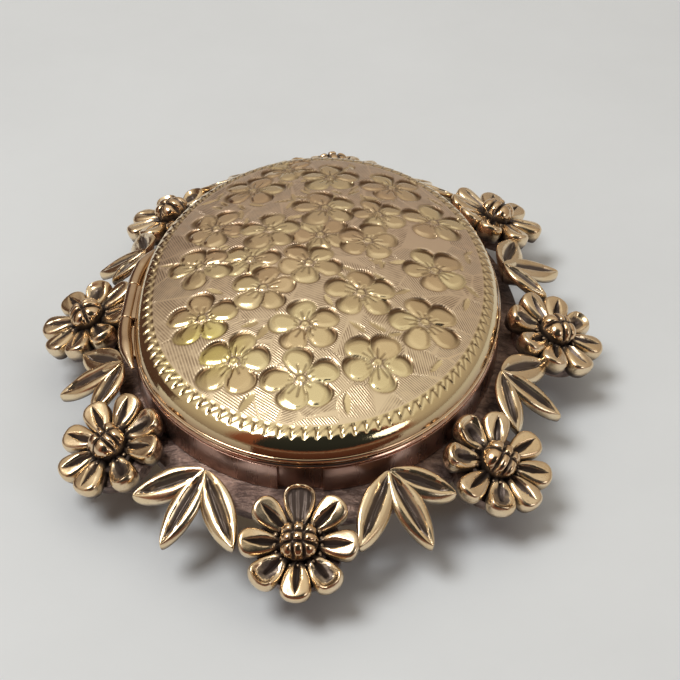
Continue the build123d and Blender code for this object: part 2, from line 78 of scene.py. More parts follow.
# engraved flowers on the lid: x, y, first petal's direction, size
ENGRAVED = [
    (-9.8, 0.1, 40, 1.0), (-8.95, -6.37, 25, 1.05), (-5.97, -11.26, 3, 1.08), (-4.33, -3.38, 15, 1.0),
    (-9.01, 5.36, 60, 1.0), (-4.36, 4.4, 20, 1.0), (-6.39, 11.31, 5, 1.0), (-0.83, -0.33, 50, 1.0),
    (0.05, 7.84, 30, 1.0), (0.2, 13.48, 18, 1.0), (3.85, 3.17, 12, 1.0), (3.52, -3.68, 27, 1.05),
    (5.66, 12.56, 40, 1.0), (9.33, 7.56, 25, 1.0), (9.42, 0.48, -20, 1.05), (8.66, -6.05, 36, 1.08),
    (5.09, -10.98, -6, 1.08), (-0.71, -7.65, 27, 1.05), (-0.69, -13.15, 32, 1.10),
]


# ---------------------------------------------------------------------------
# mesh helpers
# ---------------------------------------------------------------------------
def signed_volume(v, faces):
    vol = 0.0
    for f in faces:
        f = np.asarray(f)
        if f.ndim == 1:
            f = f[None, :]
        a = v[f[:, 0]]
        for i in range(1, f.shape[1] - 1):
            vol += np.einsum("ij,ij->", a, np.cross(v[f[:, i]], v[f[:, i + 1]]))
    return vol


def clear_barrel(v):
    """Petal tips that reach under the hinge are pressed down to stay clear of the lid's turning barrel."""
    gap = 0.64**2 - np.minimum(v[:, 0] + 15.6, 0) ** 2
    roof = 7.7 - np.sqrt(np.maximum(gap, 0))
    near = (gap > 0) & (v[:, 1] > -3.5) & (v[:, 1] < 1.0)
    out = v.copy()
    out[:, 2] = np.where(near, np.minimum(v[:, 2], roof), v[:, 2])
    return out


def fuller(v):
    """The hand-raised oval is a little fuller on one shoulder, between the hinge and the near end."""
    rho = np.hypot(v[:, 0], v[:, 1] / K)
    deg = np.degrees(np.mod(np.arctan2(v[:, 1] / K, v[:, 0]), 2 * math.pi))
    grid = np.arange(0, 361.0)
    table = np.interp(grid, [0, 180, 190, 200, 210, 218, 226, 234, 244, 256, 270, 285, 360],
                      [0, 0, 0.12, 0.46, 0.68, 0.72, 0.64, 0.50, 0.36, 0.24, 0.08, 0, 0])
    ker = np.exp(-0.5 * (np.arange(-12, 13) / 4.5) ** 2)
    table = np.convolve(table, ker / ker.sum(), mode="same")
    t = np.clip((rho - 11.0) / 4.0, 0, 1)
    push = np.interp(deg, grid, table) * t * t * (3 - 2 * t)
    nx, ny = v[:, 0], v[:, 1] / K**2
    ln = np.maximum(np.hypot(nx, ny), 1e-9)
    out = v.copy()
    out[:, 0] += push * nx / ln
    out[:, 1] += push * ny / ln
    return out


class Build:
    """Collects vertices (mm, frame coordinates), faces and point attributes of one closed shell or more."""

    def __init__(self):
        self.v, self.q, self.t, self.n = [], [], [], 0
        self.attr = {}

    def add(self, v, quads=(), tris=(), **attr):
        v = np.asarray(v, float).reshape(-1, 3)
        quads = np.asarray(quads, int).reshape(-1, 4)
        tris = np.asarray(tris, int).reshape(-1, 3)
        if signed_volume(v, [quads, tris]) < 0:
            quads, tris = quads[:, ::-1], tris[:, ::-1]
        self.v.append(v)
        self.q.append(quads + self.n)
        self.t.append(tris + self.n)
        for k in set(self.attr) | set(attr):
            self.attr.setdefault(k, [np.zeros(self.n)] if self.n else [])
            self.attr[k].append(
                np.broadcast_to(np.asarray(attr.get(k, 0.0), float), (len(v),)).copy()
            )
        self.n += len(v)

    def make(self, name, mat, body, replaces=(), sharp=42):
        v = np.vstack(self.v)
        if name.startswith(("lid_", "case_")):
            v = fuller(v)
        if name == "petals_left":
            v = clear_barrel(v)
        quads, tris = np.vstack(self.q), np.vstack(self.t)
        me = bpy.data.meshes.new(name)
        me.from_pydata((v * 0.001).tolist(), [], quads.tolist() + tris.tolist())
        for k, a in self.attr.items():
            at = me.attributes.new(k, "FLOAT", "POINT")
            at.data.foreach_set("value", np.concatenate(a).astype(np.float32))
        me.polygons.foreach_set("use_smooth", np.ones(len(me.polygons), bool))
        me.update()
        if sharp:
            me.set_sharp_from_angle(angle=math.radians(sharp))
        ob = bpy.data.objects.new(name, me)
        bpy.context.scene.collection.objects.link(ob)
        me.materials.append(mat)
        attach(ob, body)
        if replaces:
            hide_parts(*replaces)
        return ob


def rounded(pts, rad, n=5):
    """A closed (r, z) outline with each corner filleted by its radius."""
    pts = [np.array(p, float) for p in pts]
    out = []
    m = len(pts)
    for i, p in enumerate(pts):
        r = rad[i] if isinstance(rad, (list, tuple)) else rad
        a, b = pts[i - 1] - p, pts[(i + 1) % m] - p
        la, lb = np.linalg.norm(a), np.linalg.norm(b)
        a, b = a / la, b / lb
        if r <= 0:
            out.append(p)
            continue
        cosv = float(np.clip(a @ b, -1, 1))
        half = math.acos(cosv) / 2
        d = min(r / math.tan(half), 0.48 * la, 0.48 * lb)
        p0, p1 = p + a * d, p + b * d
        for k in range(n):
            s = k / (n - 1)
            out.append((1 - s) ** 2 * p0 + 2 * s * (1 - s) * p + s * s * p1)
    return np.array(out)


def ring(build, prof, n=512, a0=0.0, a1=2 * math.pi, zoff=SZ, nick=None, **attr):
    """Revolves a closed (r, z) outline into an oval ring; a part turn gets end caps."""
    prof = np.asarray(prof, float)
    m = len(prof)
    full = abs(a1 - a0 - 2 * math.pi) < 1e-9
    th = np.linspace(a0, a1, n, endpoint=not full)
    v = np.empty((n, m, 3))
    v[..., 0] = np.cos(th)[:, None] * prof[None, :, 0]
    v[..., 1] = np.sin(th)[:, None] * prof[None, :, 0] * K
    v[..., 2] = prof[None, :, 1] + zoff
    if nick is not None:
        v = nick(v)
    i = np.arange(n if full else n - 1)
    j = np.arange(m)
    I, J = np.meshgrid(i, j, indexing="ij")
    I2, J2 = (I + 1) % n, (J + 1) % m
    quads = np.stack([I * m + J, I2 * m + J, I2 * m + J2, I * m + J2], -1).reshape(-1, 4)
    tris = np.empty((0, 3), int)
    vv = v.reshape(-1, 3)
    if not full:
        base = len(vv)
        caps = np.array([v[0].mean(0), v[-1].mean(0)])
        vv = np.vstack([vv, caps])
        t0 = np.stack([np.full(m, base), j, (j + 1) % m], -1)
        last = (n - 1) * m
        t1 = np.stack([np.full(m, base + 1), last + (j + 1) % m, last + j], -1)
        tris = np.vstack([t0, t1])
    build.add(vv, quads, tris, **attr)
    return th


def disc(build, prof, n=384, zoff=SZ, **attr):
    """Revolves an open (r, z) outline whose ends lie on the axis into a closed oval disc."""
    prof = np.asarray(prof, float)
    inner = prof[1:-1]
    m = len(inner)
    th = np.linspace(0, 2 * math.pi, n, endpoint=False)
    v = np.empty((n, m, 3))
    v[..., 0] = np.cos(th)[:, None] * inner[None, :, 0]
    v[..., 1] = np.sin(th)[:, None] * inner[None, :, 0] * K
    v[..., 2] = inner[None, :, 1] + zoff
    I, J = np.meshgrid(np.arange(n), np.arange(m - 1), indexing="ij")
    I2 = (I + 1) % n
    quads = np.stack([I * m + J, I2 * m + J, I2 * m + J + 1, I * m + J + 1], -1).reshape(-1, 4)
    vv = np.vstack([v.reshape(-1, 3), [[0, 0, prof[0, 1] + zoff], [0, 0, prof[-1, 1] + zoff]]])
    base = n * m
    i = np.arange(n)
    i2 = (i + 1) % n
    t0 = np.stack([np.full(n, base), i2 * m, i * m], -1)
    t1 = np.stack([np.full(n, base + 1), i * m + m - 1, i2 * m + m - 1], -1)
    build.add(vv, quads, np.vstack([t0, t1]), **attr)


def tube(build, path, radii, n=40, **attr):
    """A round bar along a path of points, closed at both ends."""
    path = np.asarray(path, float)
    radii = np.asarray(radii, float)
    m = len(path)
    tan = np.gradient(path, axis=0)
    tan /= np.linalg.norm(tan, axis=1)[:, None]
    up = np.array([0.0, 0.0, 1.0])
    th = np.linspace(0, 2 * math.pi, n, endpoint=False)
    v = []
    for p, t, r in zip(path, tan, radii):
        a = np.cross(t, up)
        a /= np.linalg.norm(a)
        b = np.cross(a, t)
        v.append(p + r * (np.cos(th)[:, None] * a + np.sin(th)[:, None] * b))
    v = np.array(v)
    I, J = np.meshgrid(np.arange(m - 1), np.arange(n), indexing="ij")
    J2 = (J + 1) % n
    quads = np.stack([I * n + J, I * n + J2, (I + 1) * n + J2, (I + 1) * n + J], -1).reshape(-1, 4)
    vv = np.vstack([v.reshape(-1, 3), path[:1], path[-1:]])
    base = m * n
    j = np.arange(n)
    j2 = (j + 1) % n
    t0 = np.stack([np.full(n, base), j2, j], -1)
    t1 = np.stack([np.full(n, base + 1), (m - 1) * n + j, (m - 1) * n + j2], -1)
    build.add(vv, quads, np.vstack([t0, t1]), **attr)


def rbox(build, lo, hi, r=0.08, **attr):
    """A box with rounded edges."""
    lo, hi = np.array(lo, float), np.array(hi, float)
    g = np.linspace(-1, 1, 9)
    V, Q = [], []
    cen, half = (lo + hi) / 2, (hi - lo) / 2
    key = {}
    for ax in range(3):
        for s in (-1, 1):
            idx = np.empty((9, 9), int)
            for i, a in enumerate(g):
                for j, b in enumerate(g):
                    p = np.zeros(3)
                    p[ax], p[(ax + 1) % 3], p[(ax + 2) % 3] = s, a, b
                    kk = tuple(np.round(p, 6))
                    if kk not in key:
                        key[kk] = len(V)
                        w = np.sign(p) * (1 - (1 - np.abs(p)) ** 1.0)
                        q = w * half
                        core = np.clip(q, -(half - r), half - r)
                        d = q - core
                        ln = np.linalg.norm(d)
                        if ln > 1e-9 and (np.abs(p) > 0.999).any():
                            d = d / max(ln, 1e-9) * min(r, max(np.abs(d)))
                        V.append(cen + core + d)
                    idx[i, j] = key[kk]
            for i in range(8):
                for j in range(8):
                    f = [idx[i, j], idx[i + 1, j], idx[i + 1, j + 1], idx[i, j + 1]]
                    Q.append(f if s > 0 else f[::-1])
    build.add(np.array(V), Q, **attr)


# ---------------------------------------------------------------------------
# materials
# ---------------------------------------------------------------------------
class Nodes:
    def __init__(self, name):
        self.m = bpy.data.materials.new(name)
        self.m.use_nodes = True
        self.t = self.m.node_tree
        self.t.nodes.clear()
        self.out = self.t.nodes.new("ShaderNodeOutputMaterial")
        self.p = self.t.nodes.new("ShaderNodeBsdfPrincipled")
        self.t.links.new(self.p.outputs[0], self.out.inputs[0])
        self.co = self.t.nodes.new("ShaderNodeTexCoord")

    def node(self, kind, **kw):
        n = self.t.nodes.new(kind)
        for k, v in kw.items():
            setattr(n, k, v)
        return n

    def link(self, a, b):
        self.t.links.new(a, b)

    def value(self, x, socket):
        if hasattr(x, "is_output"):
            self.link(x, socket)
        else:
            socket.default_value = x

    def math(self, op, a, b=0.0, c=None, clamp=False):
        n = self.node("ShaderNodeMath", operation=op, use_clamp=clamp)
        self.value(a, n.inputs[0])
        self.value(b, n.inputs[1])
        if c is not None:
            self.value(c, n.inputs[2])
        return n.outputs[0]

    def attr(self, name):
        n = self.node("ShaderNodeAttribute", attribute_name=name)
        return n.outputs["Fac"]

    def noise(self, scale, detail=3.0, rough=0.55, vec=None, stretch=None):
        n = self.node("ShaderNodeTexNoise")
        n.inputs["Scale"].default_value = scale
        n.inputs["Detail"].default_value = detail
        n.inputs["Roughness"].default_value = rough
        src = vec if vec is not None else self.co.outputs["Object"]
        if stretch:
            mp = self.node("ShaderNodeMapping")
            mp.inputs["Scale"].default_value = stretch
            self.link(src, mp.inputs["Vector"])
            src = mp.outputs["Vector"]
        self.link(src, n.inputs["Vector"])
        return n.outputs["Fac"]

    def ramp(self, fac, *stops):
        n = self.node("ShaderNodeValToRGB")
        e = n.color_ramp.elements
        while len(e) < len(stops):
            e.new(0.5)
        for el, (pos, col) in zip(e, stops):
            el.position = pos
            el.color = (*col, 1.0) if isinstance(col, tuple) else (col, col, col, 1.0)
        self.link(fac, n.inputs["Fac"])
        return n.outputs["Color"]

    def mix(self, fac, a, b):
        n = self.node("ShaderNodeMix", data_type="RGBA")
        self.value(fac, n.inputs["Factor"])
        for x, s in ((a, n.inputs[6]), (b, n.inputs[7])):
            if isinstance(x, tuple):
                s.default_value = (*x, 1.0)
            else:
                self.link(x, s)
        return n.outputs[2]

    def mixf(self, fac, a, b):
        n = self.node("ShaderNodeMix", data_type="FLOAT")
        self.value(fac, n.inputs["Factor"])
        self.value(a, n.inputs[2])
        self.value(b, n.inputs[3])
        return n.outputs[0]

    def bump(self, height, dist, strength=1.0, normal=None):
        n = self.node("ShaderNodeBump")
        n.inputs["Strength"].default_value = strength
        n.inputs["Distance"].default_value = dist
        self.link(height, n.inputs["Height"])
        if normal is not None:
            self.link(normal, n.inputs["Normal"])
        return n.outputs["Normal"]

    def set(self, **kw):
        names = {"color": "Base Color", "rough": "Roughness", "metal": "Metallic", "normal": "Normal",
                 "spec": "Specular IOR Level", "trans": "Transmission Weight", "ior": "IOR",
                 "coat": "Coat Weight", "aniso": "Anisotropic"}
        for k, v in kw.items():
            s = self.p.inputs[names[k]]
            if isinstance(v, tuple):
                s.default_value = (*v, 1.0)
            elif hasattr(v, "is_output"):
                self.link(v, s)
            else:
                s.default_value = v


def antique(name, bright, dark, rough=0.2, dark_rough=0.5, wear=0.35, ao_shade=0.9, fine=0.000006, ao_dist=0.0011):
    """Cast gold whose edges are worn bright and whose hollows keep their oxidised tone; crevices, side walls and
    undersides are darkened further as painted shade.
    """
    n = Nodes(name)
    pat = n.attr("pat")
    blotch = n.noise(1500, 4)
    pat = n.math("ADD", pat, n.math("MULTIPLY", n.math("SUBTRACT", blotch, 0.5), wear))
    # painted shade: creases and gaps between parts, found by ambient occlusion, are darkened in the colour
    if ao_shade:
        a = n.node("ShaderNodeAmbientOcclusion", samples=6)
        a.inputs["Distance"].default_value = ao_dist
        occlusion_shade = n.math("POWER", n.math("SUBTRACT", 1.0, a.outputs["AO"]), 1.6)
        pat = n.math("ADD", pat, n.math("MULTIPLY", occlusion_shade, ao_shade))
    fac = n.ramp(pat, (0.22, 0.0), (0.72, 1.0))
    tone = n.noise(420, 2)
    br = n.mix(n.ramp(tone, (0.35, 0.0), (0.65, 1.0)), bright, tuple(c * k for c, k in zip(bright, (0.94, 0.88, 0.78))))
    speck = n.noise(6500, 2)
    br = n.mix(n.ramp(speck, (0.60, 0.0), (0.74, 0.45)), br, tuple(c * 0.45 for c in bright))
    col = n.mix(fac, br, dark)
    n.set(color=col, metal=n.mixf(fac, 1.0, 0.75),
          rough=n.mixf(fac, n.math("ADD", rough, n.math("MULTIPLY", n.math("SUBTRACT", blotch, 0.5), 0.18)), dark_rough))
    h = n.math("ADD", n.math("MULTIPLY", n.noise(5200, 3), 0.6), n.math("MULTIPLY", n.noise(900, 2), 1.6))
    nb = n.bump(h, fine * 2.0, 0.55)
    h2 = n.math("MULTIPLY", n.noise(9000, 2), fac)
    n.set(normal=n.bump(h2, fine * 4, 0.8, nb))
    return n.m


def polished(name, base, rough=0.14, tint=None, scratch=0.35, patina=None):
    """Polished gold with fine hairline scratches, a slow colour drift and dulled places."""
    n = Nodes(name)
    tint = tint or tuple(c * k for c, k in zip(base, (0.95, 0.90, 0.82)))
    drift = n.ramp(n.noise(260, 3), (0.35, 0.0), (0.68, 1.0))
    col = n.mix(drift, base, tint)
    if patina:
        col = n.mix(n.attr("pat"), col, patina)
    hair = n.noise(2600, 4, 0.7, stretch=(1.0, 0.06, 1.0))
    hair2 = n.noise(2600, 4, 0.7, stretch=(0.07, 1.0, 1.0))
    both = n.math("ADD", hair, hair2)
    n.set(color=col, metal=1.0,
          rough=n.math("ADD", rough, n.math("MULTIPLY", n.math("SUBTRACT", both, 1.0), 0.25)),
          normal=n.bump(both, 0.000004, scratch))
    return n.m


def engraved_material():
    n = Nodes("lid_engraved_gold")
    sm, hu, grv = n.attr("smooth_f"), n.attr("hu"), n.attr("grv")
    hs = n.attr("hs")
    sep = n.node("ShaderNodeSeparateXYZ")
    n.link(n.co.outputs["Object"], sep.inputs[0])
    # painted reflection: warm tan at the far end drifting to yellow at the near end, standing in for the surroundings
    # the dome reflects
    yy = n.math("ADD", sep.outputs["Y"], n.math("MULTIPLY", n.math("SUBTRACT", n.noise(160, 2), 0.5), 0.008))
    far = n.node("ShaderNodeMapRange")
    n.link(yy, far.inputs[0])
    far.inputs[1].default_value, far.inputs[2].default_value = -0.013, 0.006
    base = n.mix(far.outputs[0], (0.97, 0.80, 0.455), (0.90, 0.70, 0.475))
    petal = n.mix(n.attr("tint"), n.mix(0.45, base, (0.66, 0.46, 0.29)), n.mix(0.60, base, (1.0, 0.89, 0.54)))
    # painted reflection: petals within about 4 mm of a spot at the near left of the dome turn yellow
    yellow = n.node("ShaderNodeVectorMath", operation="DISTANCE")
    n.link(n.co.outputs["Object"], yellow.inputs[0])
    yellow.inputs[1].default_value = (-0.0085, -0.0095, 0.0110)
    near = n.ramp(n.math("MULTIPLY", yellow.outputs["Value"], 100.0), (0.15, 1.0), (0.42, 0.0))
    petal = n.mix(n.math("MULTIPLY", near, 0.75), petal, (0.90, 0.78, 0.27))
    ground = n.mix(0.45, base, (0.86, 0.715, 0.62))
    col = n.mix(sm, ground, petal)
    # painted shade: the graver's cuts and the petals' crescents darken to deep brown
    col = n.mix(n.math("MULTIPLY", grv, 0.97), col, (0.135, 0.075, 0.037))
    # liner graver hatching, crossed, on the ground only
    wave = n.math("ADD", n.math("MULTIPLY", n.math("SINE", n.math("MULTIPLY", hu, 2 * math.pi / 0.19)), 0.5), 0.5)
    brk = n.ramp(n.noise(900, 3), (0.36, 0.35), (0.60, 1.0))
    hatch = n.math("MULTIPLY", n.math("MULTIPLY", wave, hs), brk)
    hatch = n.math("MULTIPLY", hatch, n.math("SUBTRACT", 1.0, sm))
    col = n.mix(n.math("MULTIPLY", hatch, 0.72), col, (0.29, 0.19, 0.13))
    # painted reflection: the foot of the bevel is toned down to brown, standing in for the dark surroundings it
    # reflects
    low = n.ramp(n.math("MULTIPLY", sep.outputs["Z"], 100.0), ((SZ + 0.65) / 10, 0.85), ((SZ + 1.55) / 10, 0.0))
    col = n.mix(low, col, (0.36, 0.215, 0.125))
    grain = n.noise(5200, 3)
    b1 = n.bump(grain, 0.000010, 0.5)
    b2 = n.bump(hatch, 0.000030, 0.65, b1)
    rough = n.mixf(sm, 0.32, 0.19)
    rough = n.math("ADD", rough, n.math("MULTIPLY", n.math("SUBTRACT", n.noise(700, 3), 0.5), 0.16))
    rough = n.mixf(n.math("MULTIPLY", grv, 0.9), rough, 0.48)
    pol = n.attr("pol")
    rough = n.mixf(n.math("MULTIPLY", pol, n.math("SUBTRACT", 1.0, grv)), rough, 0.10)
    n.set(color=col, metal=1.0, rough=rough, normal=b2)
    return n.m


def plate_material():
    n = Nodes("wreath_plate_oxidised")
    big = n.noise(700, 4, 0.65)
    fib = n.noise(2400, 5, 0.75, stretch=(0.35, 1.0, 1.0))
    hl = n.ramp(n.math("ADD", n.math("MULTIPLY", big, 0.4), n.math("MULTIPLY", fib, 0.6)), (0.42, 0.0), (0.66, 1.0))
    col = n.mix(hl, (0.098, 0.066, 0.058), (0.39, 0.28, 0.235))
    n.set(color=col, metal=0.85, rough=n.mixf(hl, 0.48, 0.30))
    n1 = n.bump(fib, 0.00011, 0.9)
    n.set(normal=n.bump(big, 0.00016, 0.7, n1))
    return n.m


def wall_material():
    n = Nodes("case_wall_toned")
    d = n.ramp(n.noise(230, 3), (0.35, 0.0), (0.68, 1.0))
    col = n.mix(d, (0.48, 0.29, 0.225), (0.64, 0.42, 0.34))
    hair = n.noise(1800, 4, 0.7, stretch=(0.4, 0.4, 0.05))
    n.set(color=col, metal=0.95, rough=n.math("ADD", 0.20, n.math("MULTIPLY", hair, 0.16)),
          normal=n.bump(n.math("ADD", hair, n.noise(3500, 2)), 0.000012, 0.5))
    return n.m


def back_material():
    n = Nodes("case_back_toned_gold")
    d = n.ramp(n.noise(140, 4), (0.3, 0.0), (0.7, 1.0))
    col = n.mix(d, (0.66, 0.48, 0.28), (0.48, 0.33, 0.20))
    scr = n.noise(1500, 5, 0.75, stretch=(1.0, 0.04, 1.0))
    scr2 = n.noise(1700, 5, 0.75, stretch=(0.05, 1.0, 1.0))
    s = n.math("ADD", scr, scr2)
    n.set(color=col, metal=1.0, rough=n.math("ADD", 0.14, n.math("MULTIPLY", s, 0.14)),
          normal=n.bump(s, 0.000010, 0.6))
    return n.m


def window_material():
    n = Nodes("clear_crystal")
    n.set(color=(0.97, 0.98, 0.97), rough=n.math("MULTIPLY", n.noise(300, 3), 0.06), ior=1.46, trans=1.0, spec=0.5)
    return n.m


def paper_material():
    n = Nodes("aged_blank_paper")
    d = n.ramp(n.noise(190, 5, 0.6), (0.3, 0.0), (0.75, 1.0))
    col = n.mix(d, (0.80, 0.74, 0.61), (0.70, 0.61, 0.46))
    fox = n.ramp(n.noise(700, 2), (0.68, 0.0), (0.78, 0.5))
    col = n.mix(fox, col, (0.50, 0.36, 0.22))
    n.set(color=col, metal=0.0, rough=0.85, normal=n.bump(n.noise(6000, 3), 0.00002, 0.6))
    return n.m


M_LID = engraved_material()
M_BAND = polished("edge_gold_polished", (0.82, 0.62, 0.40), 0.12, (0.74, 0.52, 0.33))
M_BEAD = polished("bead_rose_gold", (0.80, 0.56, 0.43), 0.13, (0.62, 0.38, 0.28))
M_WALL = wall_material()
M_BACK = back_material()
M_INNER = polished("inner_yellow_gold", (0.90, 0.72, 0.40), 0.10)
M_HINGE = polished("hinge_gold", (0.80, 0.62, 0.42), 0.18, (0.66, 0.48, 0.32))
M_STEEL = polished("pin_wire", (0.80, 0.65, 0.42), 0.16, scratch=0.5)
M_GLASS = window_material()
M_PAPER = paper_material()
M_PLATE = plate_material()
M_PETAL = antique("petal_antique_gold", (0.87, 0.70, 0.48), (0.105, 0.080, 0.068), 0.24, 0.40, wear=0.5)
M_BOSS = antique("boss_antique_gold", (0.82, 0.62, 0.41), (0.095, 0.068, 0.052), 0.18, 0.40, wear=0.35)
M_LEAF = antique("leaf_antique_gold", (0.90, 0.74, 0.51), (0.135, 0.105, 0.088), 0.22, 0.40, wear=0.5)


# ---------------------------------------------------------------------------
# lid: one closed shell, engraved on top
# ---------------------------------------------------------------------------
def arc_table():
    t = np.linspace(0, 2 * math.pi, 7201)
    ds = 13.75 * np.sqrt(np.sin(t) ** 2 + (K * np.cos(t)) ** 2)
    s = np.concatenate([[0], np.cumsum((ds[1:] + ds[:-1]) / 2 * np.diff(t))])
    return t, s


def engraved_flowers():
    """The named flowers plus smaller filling ones, so that the field is covered up to its border."""
    rng = np.random.default_rng(11)
    out = list(ENGRAVED)
    cand = []
    for yy in np.arange(-17.0, 17.01, 0.5):
        for xx in np.arange(-13.0, 13.01, 0.5):
            rho = math.hypot(xx, yy / K)
            if rho < 12.3 and yy > -1.5:
                cand.append((xx + rng.uniform(-0.2, 0.2), yy + rng.uniform(-0.2, 0.2)))
    placed = [(a, b) for a, b, _, _ in out]
    extra = []
    for want in (4.3, 3.95):
        for c in cand:
            if all(math.hypot(c[0] - p[0], c[1] - p[1]) > want for p in placed):
                placed.append(c)
                extra.append((c[0], c[1], rng.uniform(0, 72), rng.uniform(0.88, 0.98)))
    return extra + out


def lens(s):
    return np.clip(1 - s * s, 0, None)


def engrave(x, y, rho, phi):
    """Height of the graver's work (mm) and the masks the material reads."""
    n = len(x)
    h = np.zeros(n)
    smooth = np.zeros(n)
    grv = np.zeros(n)
    tint = np.full(n, 0.5)
    field = rho < 13.5
    # hatch: patches, each cut in its own direction
    rng = np.random.default_rng(5)
    seeds = np.stack([rng.uniform(-13.5, 13.5, 95), rng.uniform(-17.5, 17.5, 95)], -1)
    ang = rng.choice([20, 35, 50, 118, 135, 150], 95) * math.pi / 180 + rng.uniform(-0.12, 0.12, 95)
    best, second = np.full(n, 1e9), np.full(n, 1e9)
    hu = np.zeros(n)
    for (sx, sy), a in zip(seeds, ang):
        d = (x - sx) ** 2 + (y - sy) ** 2
        w = d < best
        second = np.where(w, best, np.minimum(second, d))
        best = np.where(w, d, best)
        hu[w] = x[w] * math.cos(a) + y[w] * math.sin(a)
    clear = np.clip((np.sqrt(second) - np.sqrt(best)) / 0.30, 0, 1)
    h -= 0.022 * field
    # small loose leaves and buds on the ground
    lr = np.random.default_rng(23)
    loose = [(-3.98, -8.42, 62, 0.95, 0.36), (-5.01, -7.54, 15, 0.70, 0.30), (-4.64, -15.13, 58, 0.95, 0.36), (-3.89, -16.33, 92, 0.85, 0.24),
             (2.93, -15.15, 95, 1.0, 0.28), (3.38, -7.55, -38, 0.85, 0.24), (4.92, -7.32, -30, 0.85, 0.24), (-10.6, -9.6, 48, 0.8, 0.26),
             (-1.5, -10.4, 30, 0.8, 0.24), (9.6, -10.4, 60, 0.9, 0.26), (1.0, -4.9, 120, 0.8, 0.24), (-8.2, -3.4, 150, 0.8, 0.26),
             (6.3, -7.9, 20, 0.7, 0.22), (-3.1, -5.6, 100, 0.7, 0.22), (12.0, -2.9, 80, 0.9, 0.26), (6.8, -3.0, 35, 0.8, 0.24)]
    for _ in range(150):
        loose.append((lr.uniform(-13, 13), lr.uniform(-2, 17), lr.uniform(0, 360), lr.uniform(0.6, 0.95), lr.uniform(0.20, 0.28)))
    for lx, ly, la, ll, lw in loose:
        if math.hypot(lx, ly / K) > 12.9:
            continue
        la = math.radians(la)
        w = np.abs(x - lx) + np.abs(y - ly) < 2.2
        dx, dy = x[w] - lx, y[w] - ly
        p = (dx * math.cos(la) + dy * math.sin(la)) / ll
        q = -dx * math.sin(la) + dy * math.cos(la)
        hw = lw * lens(p) ** 0.8 * (1 + 0.25 * p)
        inside = (np.abs(p) < 1) & (np.abs(q) < hw)
        idx = np.where(w)[0][inside]
        h[idx] = -0.02 - 0.11 * (q[inside] / (2 * lw) + 0.5) * lens(p[inside]) ** 0.5
        smooth[idx] = 1.0
        # painted shade: each cut leaf darkens towards its deeper side
        grv[idx] = 0.75 * np.clip((q[inside] / np.maximum(hw[inside], 1e-3) - 0.45) / 0.4, 0, 1)
    fr = np.random.default_rng(31)
    for fx, fy, f0, sc in engraved_flowers():
        sc = sc * 1.15
        near = (x - fx) ** 2 + (y - fy) ** 2 < (3.0 * sc) ** 2
        idx = np.where(near)[0]
        dx, dy = x[idx] - fx, y[idx] - fy
        rr = np.hypot(dx, dy) / sc
        order = fr.permutation(5)
        for k in order:
            a = math.radians(f0 + 72 * k + fr.uniform(-6, 6))
            hand = 1 if math.sin(a + 1.3) > math.sin(a - 1.3) else -1
            if fr.uniform() < 0.15:
                hand = -hand
            ln = sc * fr.uniform(0.92, 1.08)
            wd = sc * fr.uniform(0.92, 1.08)
            tilt, dip = fr.uniform(0.02, 0.11), fr.uniform(-0.05, 0.08)
            p = (dx * math.cos(a) + dy * math.sin(a)) / ln
            q = (-dx * math.sin(a) + dy * math.cos(a)) / wd
            pc = p - 1.40
            b = 0.88 * (1 + 0.18 * pc)
            # broad outer end drawn to a slight point
            e = np.sqrt((pc / 1.02) ** 2 + (q / b) ** 2) * (1 + 0.05 * np.cos(2 * np.arctan2(q, pc + 0.001)) * (pc > 0))
            d = (1 - e) * 0.90 * sc                      # about mm inside the outline
            ph = np.arctan2(q / b, pc / 1.02)
            side = np.clip(np.cos(ph - hand * 1.05), 0, 1) ** 1.1
            far_side = np.clip(np.cos(ph + hand * 1.9), 0, 1) ** 2
            tip = np.clip(np.cos(ph), 0, 1) ** 3
            up = np.sin(ph + a)                          # 1 on the side away from the viewer
            wid = 0.14 + 0.34 * side + 0.14 * tip + 0.12 * far_side
            dep = 0.055 + 0.135 * side + 0.050 * tip + 0.045 * far_side
            # V-cut: a steep outer wall down to the cut's floor, then a long facet back up
            ins = d > -0.10
            wall = np.clip((d + 0.10) / 0.20, 0, 1)
            wall = wall * wall * (3 - 2 * wall)
            back_up = np.clip((d - 0.10) / wid, 0, 1)
            flat = -0.022 - tilt * q * hand - dip * pc + 0.010 * np.sin(3.0 * p + 2.0 * q + k)
            hp = np.where(d < 0.10, -0.022 - (dep - 0.022) * wall, -dep + (dep + flat) * back_up**1.1)
            h[idx[ins]] = hp[ins]
            smooth[idx[d > 0]] = 1.0
            # painted shade: dark crescents inside each cut, strongest on the side and the end away from the viewer
            far_in = np.where(d < 0.06, 0.15, 0.15 + 0.24 * side)
            shade = np.clip(1.8 * (1 - np.abs(d - 0.06) / far_in), 0, 1)
            grv[idx[ins]] = (np.clip(shade * (0.30 + 0.80 * side) * np.clip(0.62 + 0.75 * up, 0.14, 1), 0, 1) ** 0.72)[ins]
            tint[idx[d > 0]] = fr.uniform(0, 1)
        # stamens
        m = 13
        ang2 = np.arctan2(dy, dx)
        j0 = fr.uniform(0, 1)
        step = 2 * math.pi / m
        kk = np.round((ang2 - j0) / step)
        jit = np.sin(kk * 12.9898 + f0) * 0.16
        dd = np.abs(ang2 - j0 - kk * step - jit * step) * rr
        ln2 = 1.02 + 0.28 * np.sin(kk * 7.23 + fx)
        on = (rr > 0.24) & (rr < ln2)
        prof = np.clip(1 - dd / 0.10, 0, 1) * on
        h[idx] -= 0.085 * prof
        # painted shade in the stamen cuts
        grv[idx] = np.maximum(grv[idx], 0.72 * prof)
        c = rr < 0.30
        h[idx[c]] = 0.02 - 0.06 * (rr[c] < 0.12)
        smooth[idx[c]] = 1.0
